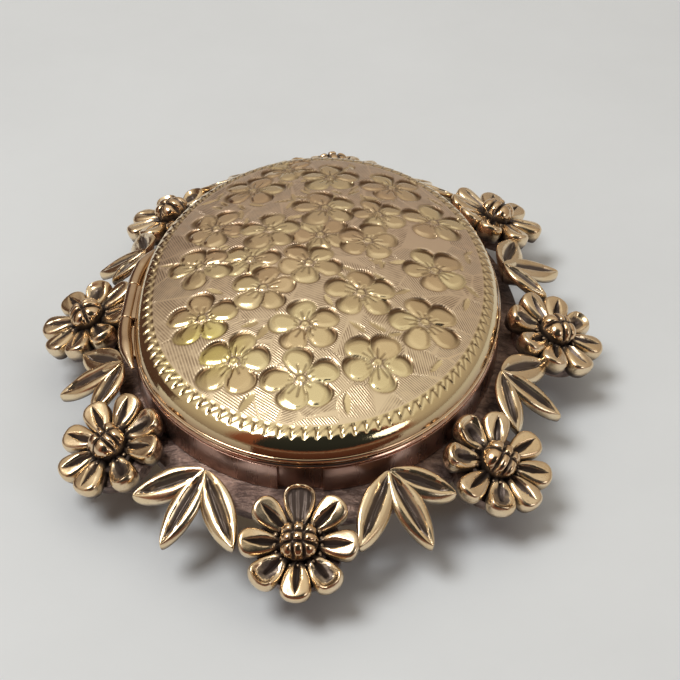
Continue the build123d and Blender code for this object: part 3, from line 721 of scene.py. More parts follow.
    # fade the field out at the border, then the wriggle-cut border
    h[~field] = 0
    smooth[~field] = 1.0
    grv[~field] = 0
    t, s = arc_table()
    teeth = 106
    u = np.interp(np.mod(phi, 2 * math.pi), t, s) / s[-1] * teeth
    zone = (rho > 13.3) & (rho < 14.45)
    depth_r = 0.56
    metric = depth_r / np.sqrt(np.cos(phi) ** 2 + (np.sin(phi) / K) ** 2)
    q = (rho - 13.62) / depth_r * metric               # mm outwards
    pitch = s[-1] / teeth
    fu = (u - np.floor(u)) * pitch                     # mm along

    def cutline(x0, y0, x1, y1, half, deep, taper=0.0):
        best = np.zeros(n)
        for shift in (-pitch, 0.0, pitch):
            ax_, ay_ = x0 * pitch + shift, y0 * metric
            bx_, by_ = x1 * pitch + shift, y1 * metric
            dx_, dy_ = bx_ - ax_, by_ - ay_
            tt = np.clip(((fu - ax_) * dx_ + (q - ay_) * dy_) / (dx_**2 + dy_**2), 0, 1)
            dist = np.hypot(fu - ax_ - tt * dx_, q - ay_ - tt * dy_)
            best = np.maximum(best, np.clip(1 - dist / (half * (1 - taper * tt)), 0, 1) * deep)
        return best * zone

    cut = np.maximum(cutline(0.24, 0.0, 0.30, 1.0, 0.135, 1.0, 0.25), cutline(0.02, -0.02, 0.44, 0.0, 0.125, 1.05))
    cut = np.maximum(cut, cutline(0.30, 1.0, 1.02, 0.02, 0.12, 0.62, 0.1))
    h -= 0.115 * cut
    # painted shade in the border's cuts
    grv = np.maximum(grv, np.clip(cut * 1.05, 0, 0.85))
    # the ground stops with a fine line
    edge = np.clip(1 - np.abs(rho - 13.50) / 0.07, 0, 1)
    h -= 0.02 * edge
    pol = np.clip((rho - 13.85) / 0.30, 0, 1)
    hs = np.clip((13.45 - rho) / 0.15, 0, 1) * np.clip((clear - 0.35) / 0.3, 0, 1)
    return h, smooth, grv, hu, pol, hs, tint


def lid_profile():
    """The (r, z) line from the dome round the full bevel down to the edge, with its arc length."""
    r1 = np.linspace(12.0, 13.72, 100)
    z1 = DOME_C + np.sqrt(DOME_R**2 - r1**2)
    p0 = np.array([r1[-1], z1[-1]])
    p1 = p0 + np.array([1.0, -13.72 / math.sqrt(DOME_R**2 - 13.72**2)]) * 0.74
    p3 = np.array([14.86, 0.46])
    p2 = p3 + np.array([-0.10, 0.62])
    t = np.linspace(0, 1, 240)[1:, None]
    cur = (1 - t) ** 3 * p0 + 3 * t * (1 - t) ** 2 * p1 + 3 * t * t * (1 - t) * p2 + t**3 * p3
    pts = np.r_[np.c_[r1, z1], cur]
    seg = np.r_[0, np.cumsum(np.hypot(*np.diff(pts, axis=0).T))]
    s = np.arange(0, seg[-1], 0.01)
    return s, np.interp(s, seg, pts[:, 0]), np.interp(s, seg, pts[:, 1])


def make_lid():
    N, RG = 135, 13.62
    a = np.linspace(-1, 1, 2 * N + 1)
    A, B = np.meshgrid(a, a, indexing="ij")
    r = np.maximum(np.abs(A), np.abs(B))
    with np.errstate(divide="ignore", invalid="ignore"):
        ph = np.where(
            np.abs(A) >= np.abs(B),
            np.where(A >= 0, math.pi / 4 * B / A, math.pi + math.pi / 4 * B / A),
            np.where(B >= 0, math.pi / 2 - math.pi / 4 * A / B, 1.5 * math.pi - math.pi / 4 * A / B),
        )
    ph = np.nan_to_num(ph)
    rho = (RG * r).ravel()
    phi = np.mod(ph.ravel(), 2 * math.pi)
    M = 2 * N + 1
    idx = np.arange(M * M).reshape(M, M)
    quads = [np.stack([idx[:-1, :-1], idx[1:, :-1], idx[1:, 1:], idx[:-1, 1:]], -1).reshape(-1, 4)]
    z = DOME_C + np.sqrt(DOME_R**2 - rho**2)
    nr, nz = rho / DOME_R, np.sqrt(1 - (rho / DOME_R) ** 2)
    # boundary ring, anticlockwise from angle 0
    edge = np.concatenate([idx[-1, N:], idx[-2::-1, -1], idx[0, -2::-1], idx[1:, 0], idx[-1, 1:N]])
    seg = len(edge)
    eph = phi[edge]
    # profile rings outwards
    s, pr, pz = lid_profile()
    s0 = np.interp(RG, pr, s)
    s_end = s[np.argmin(np.abs(pz - 0.53))]
    steps = np.r_[np.arange(s0 + 0.09, s0 + 0.82, 0.09), np.linspace(s0 + 0.90, s_end, 8)]
    tr, tz = np.gradient(pr, s), np.gradient(pz, s)
    R_all, P_all, Z_all, NR, NZ = [rho], [phi], [z], [nr], [nz]
    prev, base = edge, M * M
    for st in steps:
        rr, zz = np.interp(st, s, pr), np.interp(st, s, pz)
        dr, dz = np.interp(st, s, tr), np.interp(st, s, tz)
        ln = math.hypot(dr, dz)
        cur = base + np.arange(seg)
        base += seg
        R_all.append(np.full(seg, rr))
        P_all.append(eph)
        Z_all.append(np.full(seg, zz))
        NR.append(np.full(seg, -dz / ln))
        NZ.append(np.full(seg, dr / ln))
        quads.append(np.stack([prev, cur, np.roll(cur, -1), np.roll(prev, -1)], -1))
        prev = cur
    rho, phi, z = np.concatenate(R_all), np.concatenate(P_all), np.concatenate(Z_all)
    nr, nz = np.concatenate(NR), np.concatenate(NZ)
    x, y = rho * np.cos(phi), rho * K * np.sin(phi)
    h, smooth, grv, hu, pol, hs, tint = engrave(x, y, rho, phi)
    # normal of the oval surface
    nx, ny = nr * np.cos(phi), nr * np.sin(phi) / K
    ln = np.sqrt(nx**2 + ny**2 + nz**2)
    v = np.stack([x + h * nx / ln, y + h * ny / ln, SZ + z + h * nz / ln], -1)
    # skirt and underside
    under = [(14.80, 0.52), (14.60, 0.505), (14.55, 0.47), (14.55, 0.06), (14.52, 0.03), (14.08, 0.03), (14.05, 0.06), (14.05, 0.75), (13.40, 0.75), (13.40, 1.80)]
    extra, cnt = [], len(v)
    for rr, zz in under:
        cur = cnt + np.arange(seg)
        cnt += seg
        extra.append(np.stack([rr * np.cos(eph), rr * K * np.sin(eph), np.full(seg, SZ + zz)], -1))
        quads.append(np.stack([prev, cur, np.roll(cur, -1), np.roll(prev, -1)], -1))
        prev = cur
    # inside of the dome, coarser
    tris = []
    q4 = seg // 4
    c4 = cnt + np.arange(q4)
    cnt += q4
    ep4 = eph[::4]
    rr = 13.1
    zi = DOME_C + math.sqrt((DOME_R - 0.45) ** 2 - rr**2)
    extra.append(np.stack([rr * np.cos(ep4), rr * K * np.sin(ep4), np.full(q4, SZ + zi)], -1))
    for k in range(q4):
        b0, b1 = 4 * k, (4 * k + 4) % seg
        k2 = (k + 1) % q4
        for j in range(4):
            p0, p1 = prev[(b0 + j) % seg], prev[(b0 + j + 1) % seg]
            tris.append((p0, c4[k] if j < 2 else c4[k2], p1))
        tris.append((prev[(b0 + 2) % seg], c4[k], c4[k2]))
    prev = c4
    for rr in (10.5, 7.0, 3.5):
        zi = DOME_C + math.sqrt((DOME_R - 0.45) ** 2 - rr**2)
        cur = cnt + np.arange(q4)
        cnt += q4
        extra.append(np.stack([rr * np.cos(ep4), rr * K * np.sin(ep4), np.full(q4, SZ + zi)], -1))
        quads.append(np.stack([prev, cur, np.roll(cur, -1), np.roll(prev, -1)], -1))
        prev = cur
    extra.append(np.array([[0, 0, SZ + 4.35 - 0.45]]))
    for k in range(q4):
        tris.append((prev[k], cnt, prev[(k + 1) % q4]))
    v = np.vstack([v] + extra)
    pad = len(v) - len(h)
    ext = lambda arr, val: np.concatenate([arr, np.full(pad, val)])
    b = Build()
    b.add(v, np.vstack(quads), np.array(tris), smooth_f=ext(smooth, 1.0), grv=ext(grv, 0.0), hu=ext(hu, 0.0),
          pol=ext(pol, 1.0), hs=ext(hs, 0.0), tint=ext(tint, 0.5))
    return b.make("lid_engraved_shell", M_LID, "lid", ["lid_shell"], sharp=60)


make_lid()


def nick_cut(v):
    """Thumb nick in the lid's edge band."""
    cx, cy, cz, R = 15.0 * math.sqrt(1 - (-4.06 / 19.26) ** 2) + 0.35, -4.06, SZ, 0.62
    d = v - np.array([cx, cy, cz])
    dist = np.linalg.norm(d, axis=-1)
    m = dist < R
    push = np.where(m, (R - dist), 0.0)
    dirn = np.stack([-np.ones(v.shape[:-1]), np.zeros(v.shape[:-1]), np.zeros(v.shape[:-1])], -1)
    return v + push[..., None] * dirn * 0.8


b = Build()
prof = rounded([(14.57, 0.04), (14.86, 0.04), (15.0, 0.22), (14.90, 0.47), (14.62, 0.50), (14.57, 0.45)],
               [0.03, 0.10, 0.22, 0.12, 0.03, 0.03], 6)
ring(b, prof, 900, nick=nick_cut)
b.make("lid_edge_ring", M_BAND, "lid", ["lid_edge_band"])

b = Build()
prof = rounded([(12.40, 0.32), (12.62, 0.30), (13.46, 0.30), (13.50, 0.36), (13.50, 0.72), (13.40, 0.76), (13.40, 1.18), (12.97, 1.20), (12.97, 0.63), (12.42, 0.60)],
               [0.06, 0.08, 0.03, 0.03, 0.03, 0.02, 0.03, 0.03, 0.02, 0.06], 4)
ring(b, prof, 512)
b.make("lid_bezel_frame", M_INNER, "lid", ["lid_photo_frame"])

b = Build()
disc(b, [(0, 0.60), (9.0, 0.615), (12.6, 0.64), (12.90, 0.67), (12.93, 0.72), (12.93, 0.84), (12.90, 0.865), (0, 0.865)], 384)
b.make("lid_crystal", M_GLASS, "lid", ["lid_window"])

b = Build()
disc(b, [(0, 0.88), (12.5, 0.88), (12.88, 0.88), (12.89, 0.95), (12.88, 1.01), (0, 1.01)], 256)
b.make("lid_blank_card", M_PAPER, "lid", ["lid_photo_blank"])

# ---------------------------------------------------------------------------
# case
# ---------------------------------------------------------------------------
b = Build()
disc(b, [(0, -5.10), (6, -5.10), (11, -5.10), (14.2, -5.10), (14.40, -5.09), (14.52, -5.04), (14.60, -4.97), (14.64, -4.88), (14.65, -4.62), (14.63, -4.605), (0, -4.605)], 512)
b.make("case_back_plate", M_BACK, "case", ["case_back"])

b = Build()
prof = rounded([(14.15, -4.595), (14.65, -4.595), (14.65, -0.46), (14.15, -0.46)], 0.03, 3)
ring(b, prof, 640)
b.make("case_side_wall", M_WALL, "case", ["case_wall"])

b = Build()
prof = rounded([(14.17, -0.44), (14.78, -0.45), (15.0, -0.27), (14.86, -0.06), (14.17, -0.05)], [0.03, 0.10, 0.18, 0.10, 0.03], 6)
ring(b, prof, 900)
b.make("case_mouth_bead", M_BEAD, "case", ["case_bead"])

# collar with a gap of 3.4 mm at the front
b = Build()
prof = rounded([(14.66, -2.74), (14.95, -2.74), (14.95, -0.46), (14.66, -0.46)], [0.03, 0.06, 0.04, 0.03], 4)
gx0, gx1 = -0.4 - 1.7, -0.4 + 1.7
ga0 = -math.acos(gx1 / 14.8)
ring(b, prof, 640, ga0, ga0 + 2 * math.pi - (math.acos(gx0 / 14.8) - math.acos(gx1 / 14.8)))
b.make("case_collar", M_WALL, "case", ["collar_band"])

b = Build()
prof = rounded([(12.80, -1.60), (14.14, -1.60), (14.14, -0.12), (13.97, -0.08), (13.97, 0.42), (13.90, 0.58), (13.66, 0.60), (13.60, 0.52), (13.60, -1.28), (12.80, -1.31)],
               [0.03, 0.03, 0.03, 0.02, 0.10, 0.08, 0.04, 0.04, 0.03, 0.03], 4)
ring(b, prof, 512)
b.make("case_snap_rim", M_INNER, "case", ["snap_lip"])

b = Build()
prof = rounded([(12.97, -1.29), (13.57, -1.29), (13.57, -0.20), (13.50, -0.15), (12.66, -0.16), (12.42, -0.22), (12.40, -0.50), (12.97, -0.53)],
               [0.03, 0.03, 0.04, 0.04, 0.14, 0.08, 0.04, 0.02], 4)
ring(b, prof, 512)
b.make("case_bezel_frame", M_INNER, "case", ["base_photo_frame"])

b = Build()
disc(b, [(0, -0.765), (12.90, -0.765), (12.93, -0.74), (12.93, -0.58), (12.90, -0.545), (12.6, -0.53), (9.0, -0.515), (0, -0.505)], 384)
b.make("case_crystal", M_GLASS, "case", ["base_window"])

b = Build()
disc(b, [(0, -0.915), (12.5, -0.915), (12.88, -0.91), (12.89, -0.85), (12.88, -0.78), (0, -0.78)], 256)
b.make("case_blank_card", M_PAPER, "case", ["base_photo_blank"])


# hinge knuckles
def knuckle(name, y0, y_tip, replaced):
    side = 1 if y_tip > y0 else -1
    total = abs(y_tip - y0)
    path, rs = [], []
    for k, r in ((0.0, 0.49), (0.015, 0.53), (0.05, 0.553), (0.10, 0.56)):
        path.append((-15.60, y0 + side * k, SZ))
        rs.append(r)
    m = 40
    for i in range(1, m + 1):
        k = 0.10 + (total - 0.10) * i / m
        s = max(0.0, (k - 2.35) / (total - 2.35))
        path.append((-15.60 + 0.042 * k * k, y0 + side * k, SZ - 0.15 * s * s))
        rs.append(0.56 - 0.45 * s**1.9 + 0.05 * math.sin(math.pi * min(1.0, s * 1.6)) * (s < 0.62))
    path.append((path[-1][0] + 0.02, y_tip + side * 0.05, path[-1][2]))
    rs.append(0.05)
    b = Build()
    tube(b, path, rs, 48)
    rbox(b, (-15.50, min(y0 + side * 0.12, y0 + side * 2.0), SZ - 0.94), (-14.62, max(y0 + side * 0.12, y0 + side * 2.0), SZ - 0.38), 0.10)
    # fillet that joins the barrel to the case mouth, just under the shut line
    sec = []
    for k in np.linspace(0.14, 4.7, 36):
        y = y0 + side * k
        xo = -14.72 * math.sqrt(1 - (y / (14.72 * K)) ** 2)
        xi = -15.60 + 0.042 * k * k
        f = min(1.0, max(0.0, (k - 3.4) / 1.3))
        xi += (xo - xi) * 0.96 * f * f * (3 - 2 * f)
        top, bot = SZ - 0.12 - 0.14 * f, SZ - 0.55
        sec.append([(xi, y, bot + 0.1), (xi, y, top - 0.06), (xi + 0.05 * (1 - f), y, top), (xo, y, top), (xo + 0.06, y, bot), (xi + 0.05 * (1 - f), y, bot)])
    sv = np.array(sec)
    m2, n2 = sv.shape[:2]
    I, J = np.meshgrid(np.arange(m2 - 1), np.arange(n2), indexing="ij")
    J2 = (J + 1) % n2
    q2 = np.stack([I * n2 + J, (I + 1) * n2 + J, (I + 1) * n2 + J2, I * n2 + J2], -1).reshape(-1, 4)
    caps = []
    for row, flip in ((0, False), (m2 - 1, True)):
        for j in range(1, n2 - 1):
            c = (row * n2, row * n2 + j, row * n2 + j + 1)
            caps.append(c[::-1] if flip else c)
    b.add(sv.reshape(-1, 3), q2, np.array(caps))
    b.make(name, M_HINGE, "case", [replaced])


knuckle("hinge_barrel_front", -3.45, -9.0, "hinge_knuckle_front")
knuckle("hinge_barrel_rear", 0.95, 6.5, "hinge_knuckle_rear")
b = Build()
yk = np.array([-3.40, -3.385, -3.35, -3.30, -2.6, -1.25, 0.1, 0.80, 0.85, 0.885, 0.90])
rk = np.array([0.49, 0.53, 0.553, 0.56, 0.56, 0.56, 0.56, 0.56, 0.553, 0.53, 0.49])
tube(b, np.stack([np.full(len(yk), -15.60), yk, np.full(len(yk), SZ)], -1), rk, 48)
rbox(b, (-15.62, -3.36, SZ + 0.08), (-14.64, 0.86, SZ + 0.38), 0.12)
b.make("hinge_barrel_lid", M_HINGE, "lid", ["lid_hinge_knuckle"])


b = Build()
yk = np.array([-4.75, -4.72, -4.6, -3.0, -1.2, 1.0, 2.10, 2.22, 2.25])
rk = np.array([0.22, 0.28, 0.30, 0.30, 0.30, 0.30, 0.30, 0.28, 0.22])
tube(b, np.stack([np.full(len(yk), -15.60), yk, np.full(len(yk), SZ)], -1), rk, 32)
b.make("hinge_pivot_wire", M_STEEL, "case", ["hinge_pin"])


# ---------------------------------------------------------------------------
# flowers
# ---------------------------------------------------------------------------
def flower_frame(x, y):
    nx, ny = x / 19.57**2, y / 24.56**2
    ln = math.hypot(nx, ny)
    ox, oy = nx / ln, ny / ln
    t = math.radians(23.4)
    X = np.array([ox * math.cos(t), oy * math.cos(t), -math.sin(t)])
    Z = np.array([ox * math.sin(t), oy * math.sin(t), math.cos(t)])
    Y = np.cross(Z, X)
    drop = {FLOWERS["back_left"]: 0.30, FLOWERS["back"]: 0.60}.get((x, y), 0.0)
    return np.array([x, y, SZ - 2.35 - drop]), X, Y, Z


def seg_dist(p, q0, q1):
    """Distance of points p (n,2) to the nearest of the segments q0-q1 (m,2)."""
    d = q1 - q0
    L = (d**2).sum(1)
    rel = p[:, None, :] - q0[None]
    t = np.clip((rel * d[None]).sum(-1) / L[None], 0, 1)
    near = q0[None] + t[..., None] * d[None]
    return np.sqrt(((p[:, None, :] - near) ** 2).sum(-1)).min(1)


def warp(n, pull):
    """n spaced values in 0..1, drawn towards both ends."""
    s = np.linspace(0, 1, n)
    return s * (1 - pull) + pull * (0.5 - 0.5 * np.cos(math.pi * s))


def petal(kind, rng, L=3.12, W=1.10, wb=0.46, cup=0.0, depth=1.20, groove=1.0):
    """One petal, closed, in (u outward, v across, w up); u starts at 0 at the cup. Returns v, quads, tris, pat."""
    ns, nt = 30, 33
    s = warp(ns, 0.72)
    half = warp(17, 0.55)
    t = np.r_[-half[::-1][:-1], half]
    nt = len(t)
    S, T = np.meshgrid(s, t, indexing="ij")
    kb = 0.72
    Lr = L * (1 - kb)
    u_end = L * kb + Lr * np.sqrt(np.clip(1 - np.abs(T) ** 2.2, 0, 1))
    u = S * u_end
    q = np.clip(u / (L * kb), 0, 1)
    w = wb + (W - wb) * np.sin(q * math.pi / 2) ** 1.15
    v = T * w
    P = np.stack([u.ravel(), v.ravel()], -1)
    # outline polygon without the inner end
    out = np.concatenate([np.stack([u[:, 0], v[:, 0]], -1), np.stack([u[-1, 1:], v[-1, 1:]], -1), np.stack([u[-2::-1, -1], v[-2::-1, -1]], -1)])
    d = seg_dist(P, out[:-1], out[1:]).reshape(u.shape)
    R = 0.34
    k = np.clip(1 - d / R, 0, 1)
    edge = -R * (1 - np.sqrt(np.clip(1 - k * k, 0, 1)))
    uu = u / L
    pat = np.zeros_like(u)
    lens_w = 0.36 * groove * np.sin(np.clip(uu / 0.84, 0, 1) * math.pi) ** 0.7 * (1 - 0.15 * uu) + 0.05 * (uu < 0.5)
    lens_w = lens_w * (uu < 0.84)
    if kind == "split":
        crown = 0.16 * np.sin(np.clip(uu, 0, 1) * math.pi * 0.62) - 0.10 * (np.abs(v) / W) ** 2
        g = np.clip(1 - np.abs(v) / np.maximum(lens_w, 1e-3), 0, 1) * (lens_w > 0.01)
        z = crown + edge - 0.50 * g**0.8 * np.clip(lens_w / 0.28, 0.25, 1)
        pat = np.clip((g - 0.12) * 2.4, 0, 1)
        fine = 0.5 + 0.5 * np.cos(v * 26.0)
        z = z + 0.03 * fine * (g > 0.15)
    elif kind == "spoon":
        rim = 0.22 * np.exp(-(((d - 0.30) / 0.20) ** 2)) * np.clip((uu - 0.45) / 0.25, 0, 1)
        hollow = -0.24 * np.clip(1 - ((uu - 0.52) / 0.36) ** 2, 0, 1) * np.clip(1 - (v / (0.78 * W)) ** 2, 0, 1)
        g = np.clip(1 - np.abs(v) / np.maximum(0.8 * lens_w * (uu < 0.66), 1e-3), 0, 1) * (uu < 0.66)
        z = rim + hollow + edge - 0.30 * g
        pat = np.clip(g * 2.0 + 0.65 * (hollow < -0.12), 0, 1)
    else:  # shallow dish with radiating lines
        rim = 0.10 * np.exp(-(((d - 0.14) / 0.10) ** 2))
        hollow = -0.22 * np.clip(d / 0.35, 0, 1)
        lines = 0.05 * np.cos(v / np.maximum(w, 0.2) * 13.0) * np.clip(d / 0.3, 0, 1)
        R2 = 0.16
        k2 = np.clip(1 - d / R2, 0, 1)
        edge = -R2 * (1 - np.sqrt(np.clip(1 - k2 * k2, 0, 1)))
        z = rim + hollow + lines + edge
        pat = np.clip((d - 0.16) / 0.14, 0, 1) * 0.80
    # inner end sinks towards the cup and stays dark
    inner = np.clip(1 - uu / 0.22, 0, 1)
    z = z - 0.22 * inner**1.5
    pat = np.clip(pat + 0.75 * inner, 0, 1)
    # cupping, a slight twist and hand-made unevenness
    z = z + cup * uu**2 + 0.05 * rng.uniform(-1, 1) * (v / W) + 0.015 * np.sin(u * 3.1 + rng.uniform(0, 6)) * np.cos(v * 4 + rng.uniform(0, 6))
    top = np.stack([u, v, z], -1)
    ring_idx = np.concatenate([
        np.arange(ns) * nt, (ns - 1) * nt + np.arange(1, nt), np.arange(ns - 2, -1, -1) * nt + nt - 1, np.arange(nt - 2, 0, -1)])
    I, J = np.meshgrid(np.arange(ns - 1), np.arange(nt - 1), indexing="ij")
    quads = [np.stack([I * nt + J, (I + 1) * nt + J, (I + 1) * nt + J + 1, I * nt + J + 1], -1).reshape(-1, 4)]
    V = [top.reshape(-1, 3)]
    pats = [pat.ravel()]
    base = ns * nt
    m = len(ring_idx)
    bnd = V[0][ring_idx]
    cen = np.array([L * 0.55, 0.0])
    prev = ring_idx
    low = -depth
    ztop = bnd[:, 2]
    # painted shade: the side walls darken towards the foot and the underside stays dark
    for f, inset, pt in ((0.18, -0.015, 0.05), (0.42, -0.01, 0.25), (0.60, 0.05, 0.5), (0.80, 0.10, 0.7), (1.0, 0.18, 0.85)):
        dirn = bnd[:, :2] - cen
        ln = np.linalg.norm(dirn, axis=1)[:, None]
        xy = bnd[:, :2] - dirn / ln * inset
        zz = ztop + (low - ztop) * f
        V.append(np.c_[xy, zz])
        pats.append(np.full(m, pt))
        cur = base + np.arange(m)
        base += m
        quads.append(np.stack([prev, np.roll(prev, -1), np.roll(cur, -1), cur], -1))
        prev = cur
    V.append(np.array([[cen[0], cen[1], low]]))
    pats.append(np.array([0.75]))
    tris = np.stack([prev, np.roll(prev, -1), np.full(m, base)], -1)
    return np.vstack(V), np.vstack(quads), tris, np.concatenate(pats)


def place(build, fr, v, q, t, pat, ang=0.0, r0=0.0):
    o, X, Y, Z = fr
    ca, sa = math.cos(ang), math.sin(ang)
    lx = (v[:, 0] + r0) * ca - v[:, 1] * sa
    ly = (v[:, 0] + r0) * sa + v[:, 1] * ca
    p = o + lx[:, None] * X + ly[:, None] * Y + v[:, 2:3] * Z
    build.add(p, q, t, pat=pat)


def dome(build, fr, height_fn, nr=40, na=112, R=1.60, low=-0.88):
    """A round centre: polar grid over the top, then a wall to its foot. height_fn(a, c) returns (radius, pat) for azimuth a and colatitude c."""
    o, X, Y, Z = fr
    col = np.linspace(0, math.pi * 0.56, nr)[1:]
    az = np.linspace(0, 2 * math.pi, na, endpoint=False)
    C, A = np.meshgrid(col, az, indexing="ij")
    rad, pat = height_fn(A, C)
    r0, p0 = height_fn(np.array([0.0]), np.array([1e-4]))
    x, y, z = rad * np.sin(C) * np.cos(A), rad * np.sin(C) * np.sin(A), rad * np.cos(C)
    zc = 0.02
    V = [np.array([[0, 0, r0[0] * 0.80 + zc]]), np.stack([x, y, z * 0.80 + zc], -1).reshape(-1, 3)]
    pats = [p0, pat.ravel()]
    j = np.arange(na)
    j2 = (j + 1) % na
    tris = [np.stack([np.zeros(na, int), 1 + j, 1 + j2], -1)]
    n1 = nr - 1
    I, J = np.meshgrid(np.arange(n1 - 1), j, indexing="ij")
    J2 = (J + 1) % na
    quads = [np.stack([1 + I * na + J, 1 + (I + 1) * na + J, 1 + (I + 1) * na + J2, 1 + I * na + J2], -1).reshape(-1, 4)]
    last = 1 + (n1 - 1) * na + j
    base = 1 + n1 * na
    # painted shade: the wall down to the foot and the base are coloured fully dark
    foot = np.stack([x[-1] * 0.97, y[-1] * 0.97, np.full(na, low)], -1)
    V.append(foot)
    pats.append(np.ones(na))
    cur = base + j
    quads.append(np.stack([last, cur, np.roll(cur, -1), np.roll(last, -1)], -1))
    V.append(np.array([[0, 0, low]]))
    pats.append(np.ones(1))
    tris.append(np.stack([cur, np.full(na, base + na), np.roll(cur, -1)], -1))
    v = np.vstack(V)
    p = o + v[:, 0:1] * X + v[:, 1:2] * Y + v[:, 2:3] * Z
    build.add(p, np.vstack(quads), np.vstack(tris), pat=np.concatenate(pats))


BOSS = {  # groove pattern: (direction of local grooves, lines along a, lines along b)
    "front": (2.0, (-0.36, 0.40), (-0.42, 0.30)),
    "front_left": (8.0, (0.0,), (-0.42, 0.12)),
    "left": (20.0, (-0.35, 0.35), (0.0,)),
    "back_left": (0.0, (-0.4, 0.4), (0.0,)),
    "back": (10.0, (-0.4, 0.4), (-0.3, 0.4)),
    "back_right": (30.0, (-0.2, 0.5), (0.1,)),
    "right": (28.0, (0.05,), (-0.25, 0.40)),
    "front_right": (15.0, (0.10,), (-0.15, 0.55)),
}


def boss_fn(name, seed):
    rot, la, lb = BOSS[name]
    rot = math.radians(rot)
    rng = np.random.default_rng(seed)
    wob = rng.uniform(0, 6, 4)

    def fn(A, C):
        R = 1.58
        x, y = R * np.sin(C) * np.cos(A), R * np.sin(C) * np.sin(A)
        a = x * math.cos(rot) + y * math.sin(rot)
        bb = -x * math.sin(rot) + y * math.cos(rot)
        g = np.zeros_like(x)
        for l in la:
            g = np.maximum(g, np.exp(-(((bb - l * 1.15 - 0.05 * np.sin(a * 2 + wob[0])) / 0.125) ** 2)))
        for l in lb:
            g = np.maximum(g, np.exp(-(((a - l * 1.15 - 0.05 * np.sin(bb * 2 + wob[1])) / 0.125) ** 2)))
        belt = 1 / (1 + np.exp(-(C - 1.32) / 0.05))
        g = g * (1 - belt)
        swell = np.zeros_like(x)
        ea = sorted([-1.4] + [l * 1.15 for l in la] + [1.4])
        eb = sorted([-1.4] + [l * 1.15 for l in lb] + [1.4])
        for i in range(len(ea) - 1):
            for j in range(len(eb) - 1):
                ca, cb = (ea[i] + ea[i + 1]) / 2, (eb[j] + eb[j + 1]) / 2
                wa, wb_ = (ea[i + 1] - ea[i]) / 2, (eb[j + 1] - eb[j]) / 2
                e2 = ((bb - ca) / wa) ** 2 + ((a - cb) / wb_) ** 2
                swell = np.maximum(swell, np.clip(1 - e2, 0, 1) ** 0.6)
        r = R - 0.06 + 0.22 * swell * (1 - belt) - 0.24 * g + 0.03 * np.sin(A * 3 + wob[2]) * np.sin(C) - 0.10 * belt
        # the grooves keep their oxidised tone; the lower belt is darker as painted shade
        pat = np.clip(g * 1.25 + belt * 0.55, 0, 1)
        return r, pat

    return fn


KINDS = {
    "front": {90.7: "split", 138.9: "split", 182.6: "dish", 226.6: "split", 271.2: "split", 315.7: "spoon", 359.8: "split", 41.6: "spoon"},
}


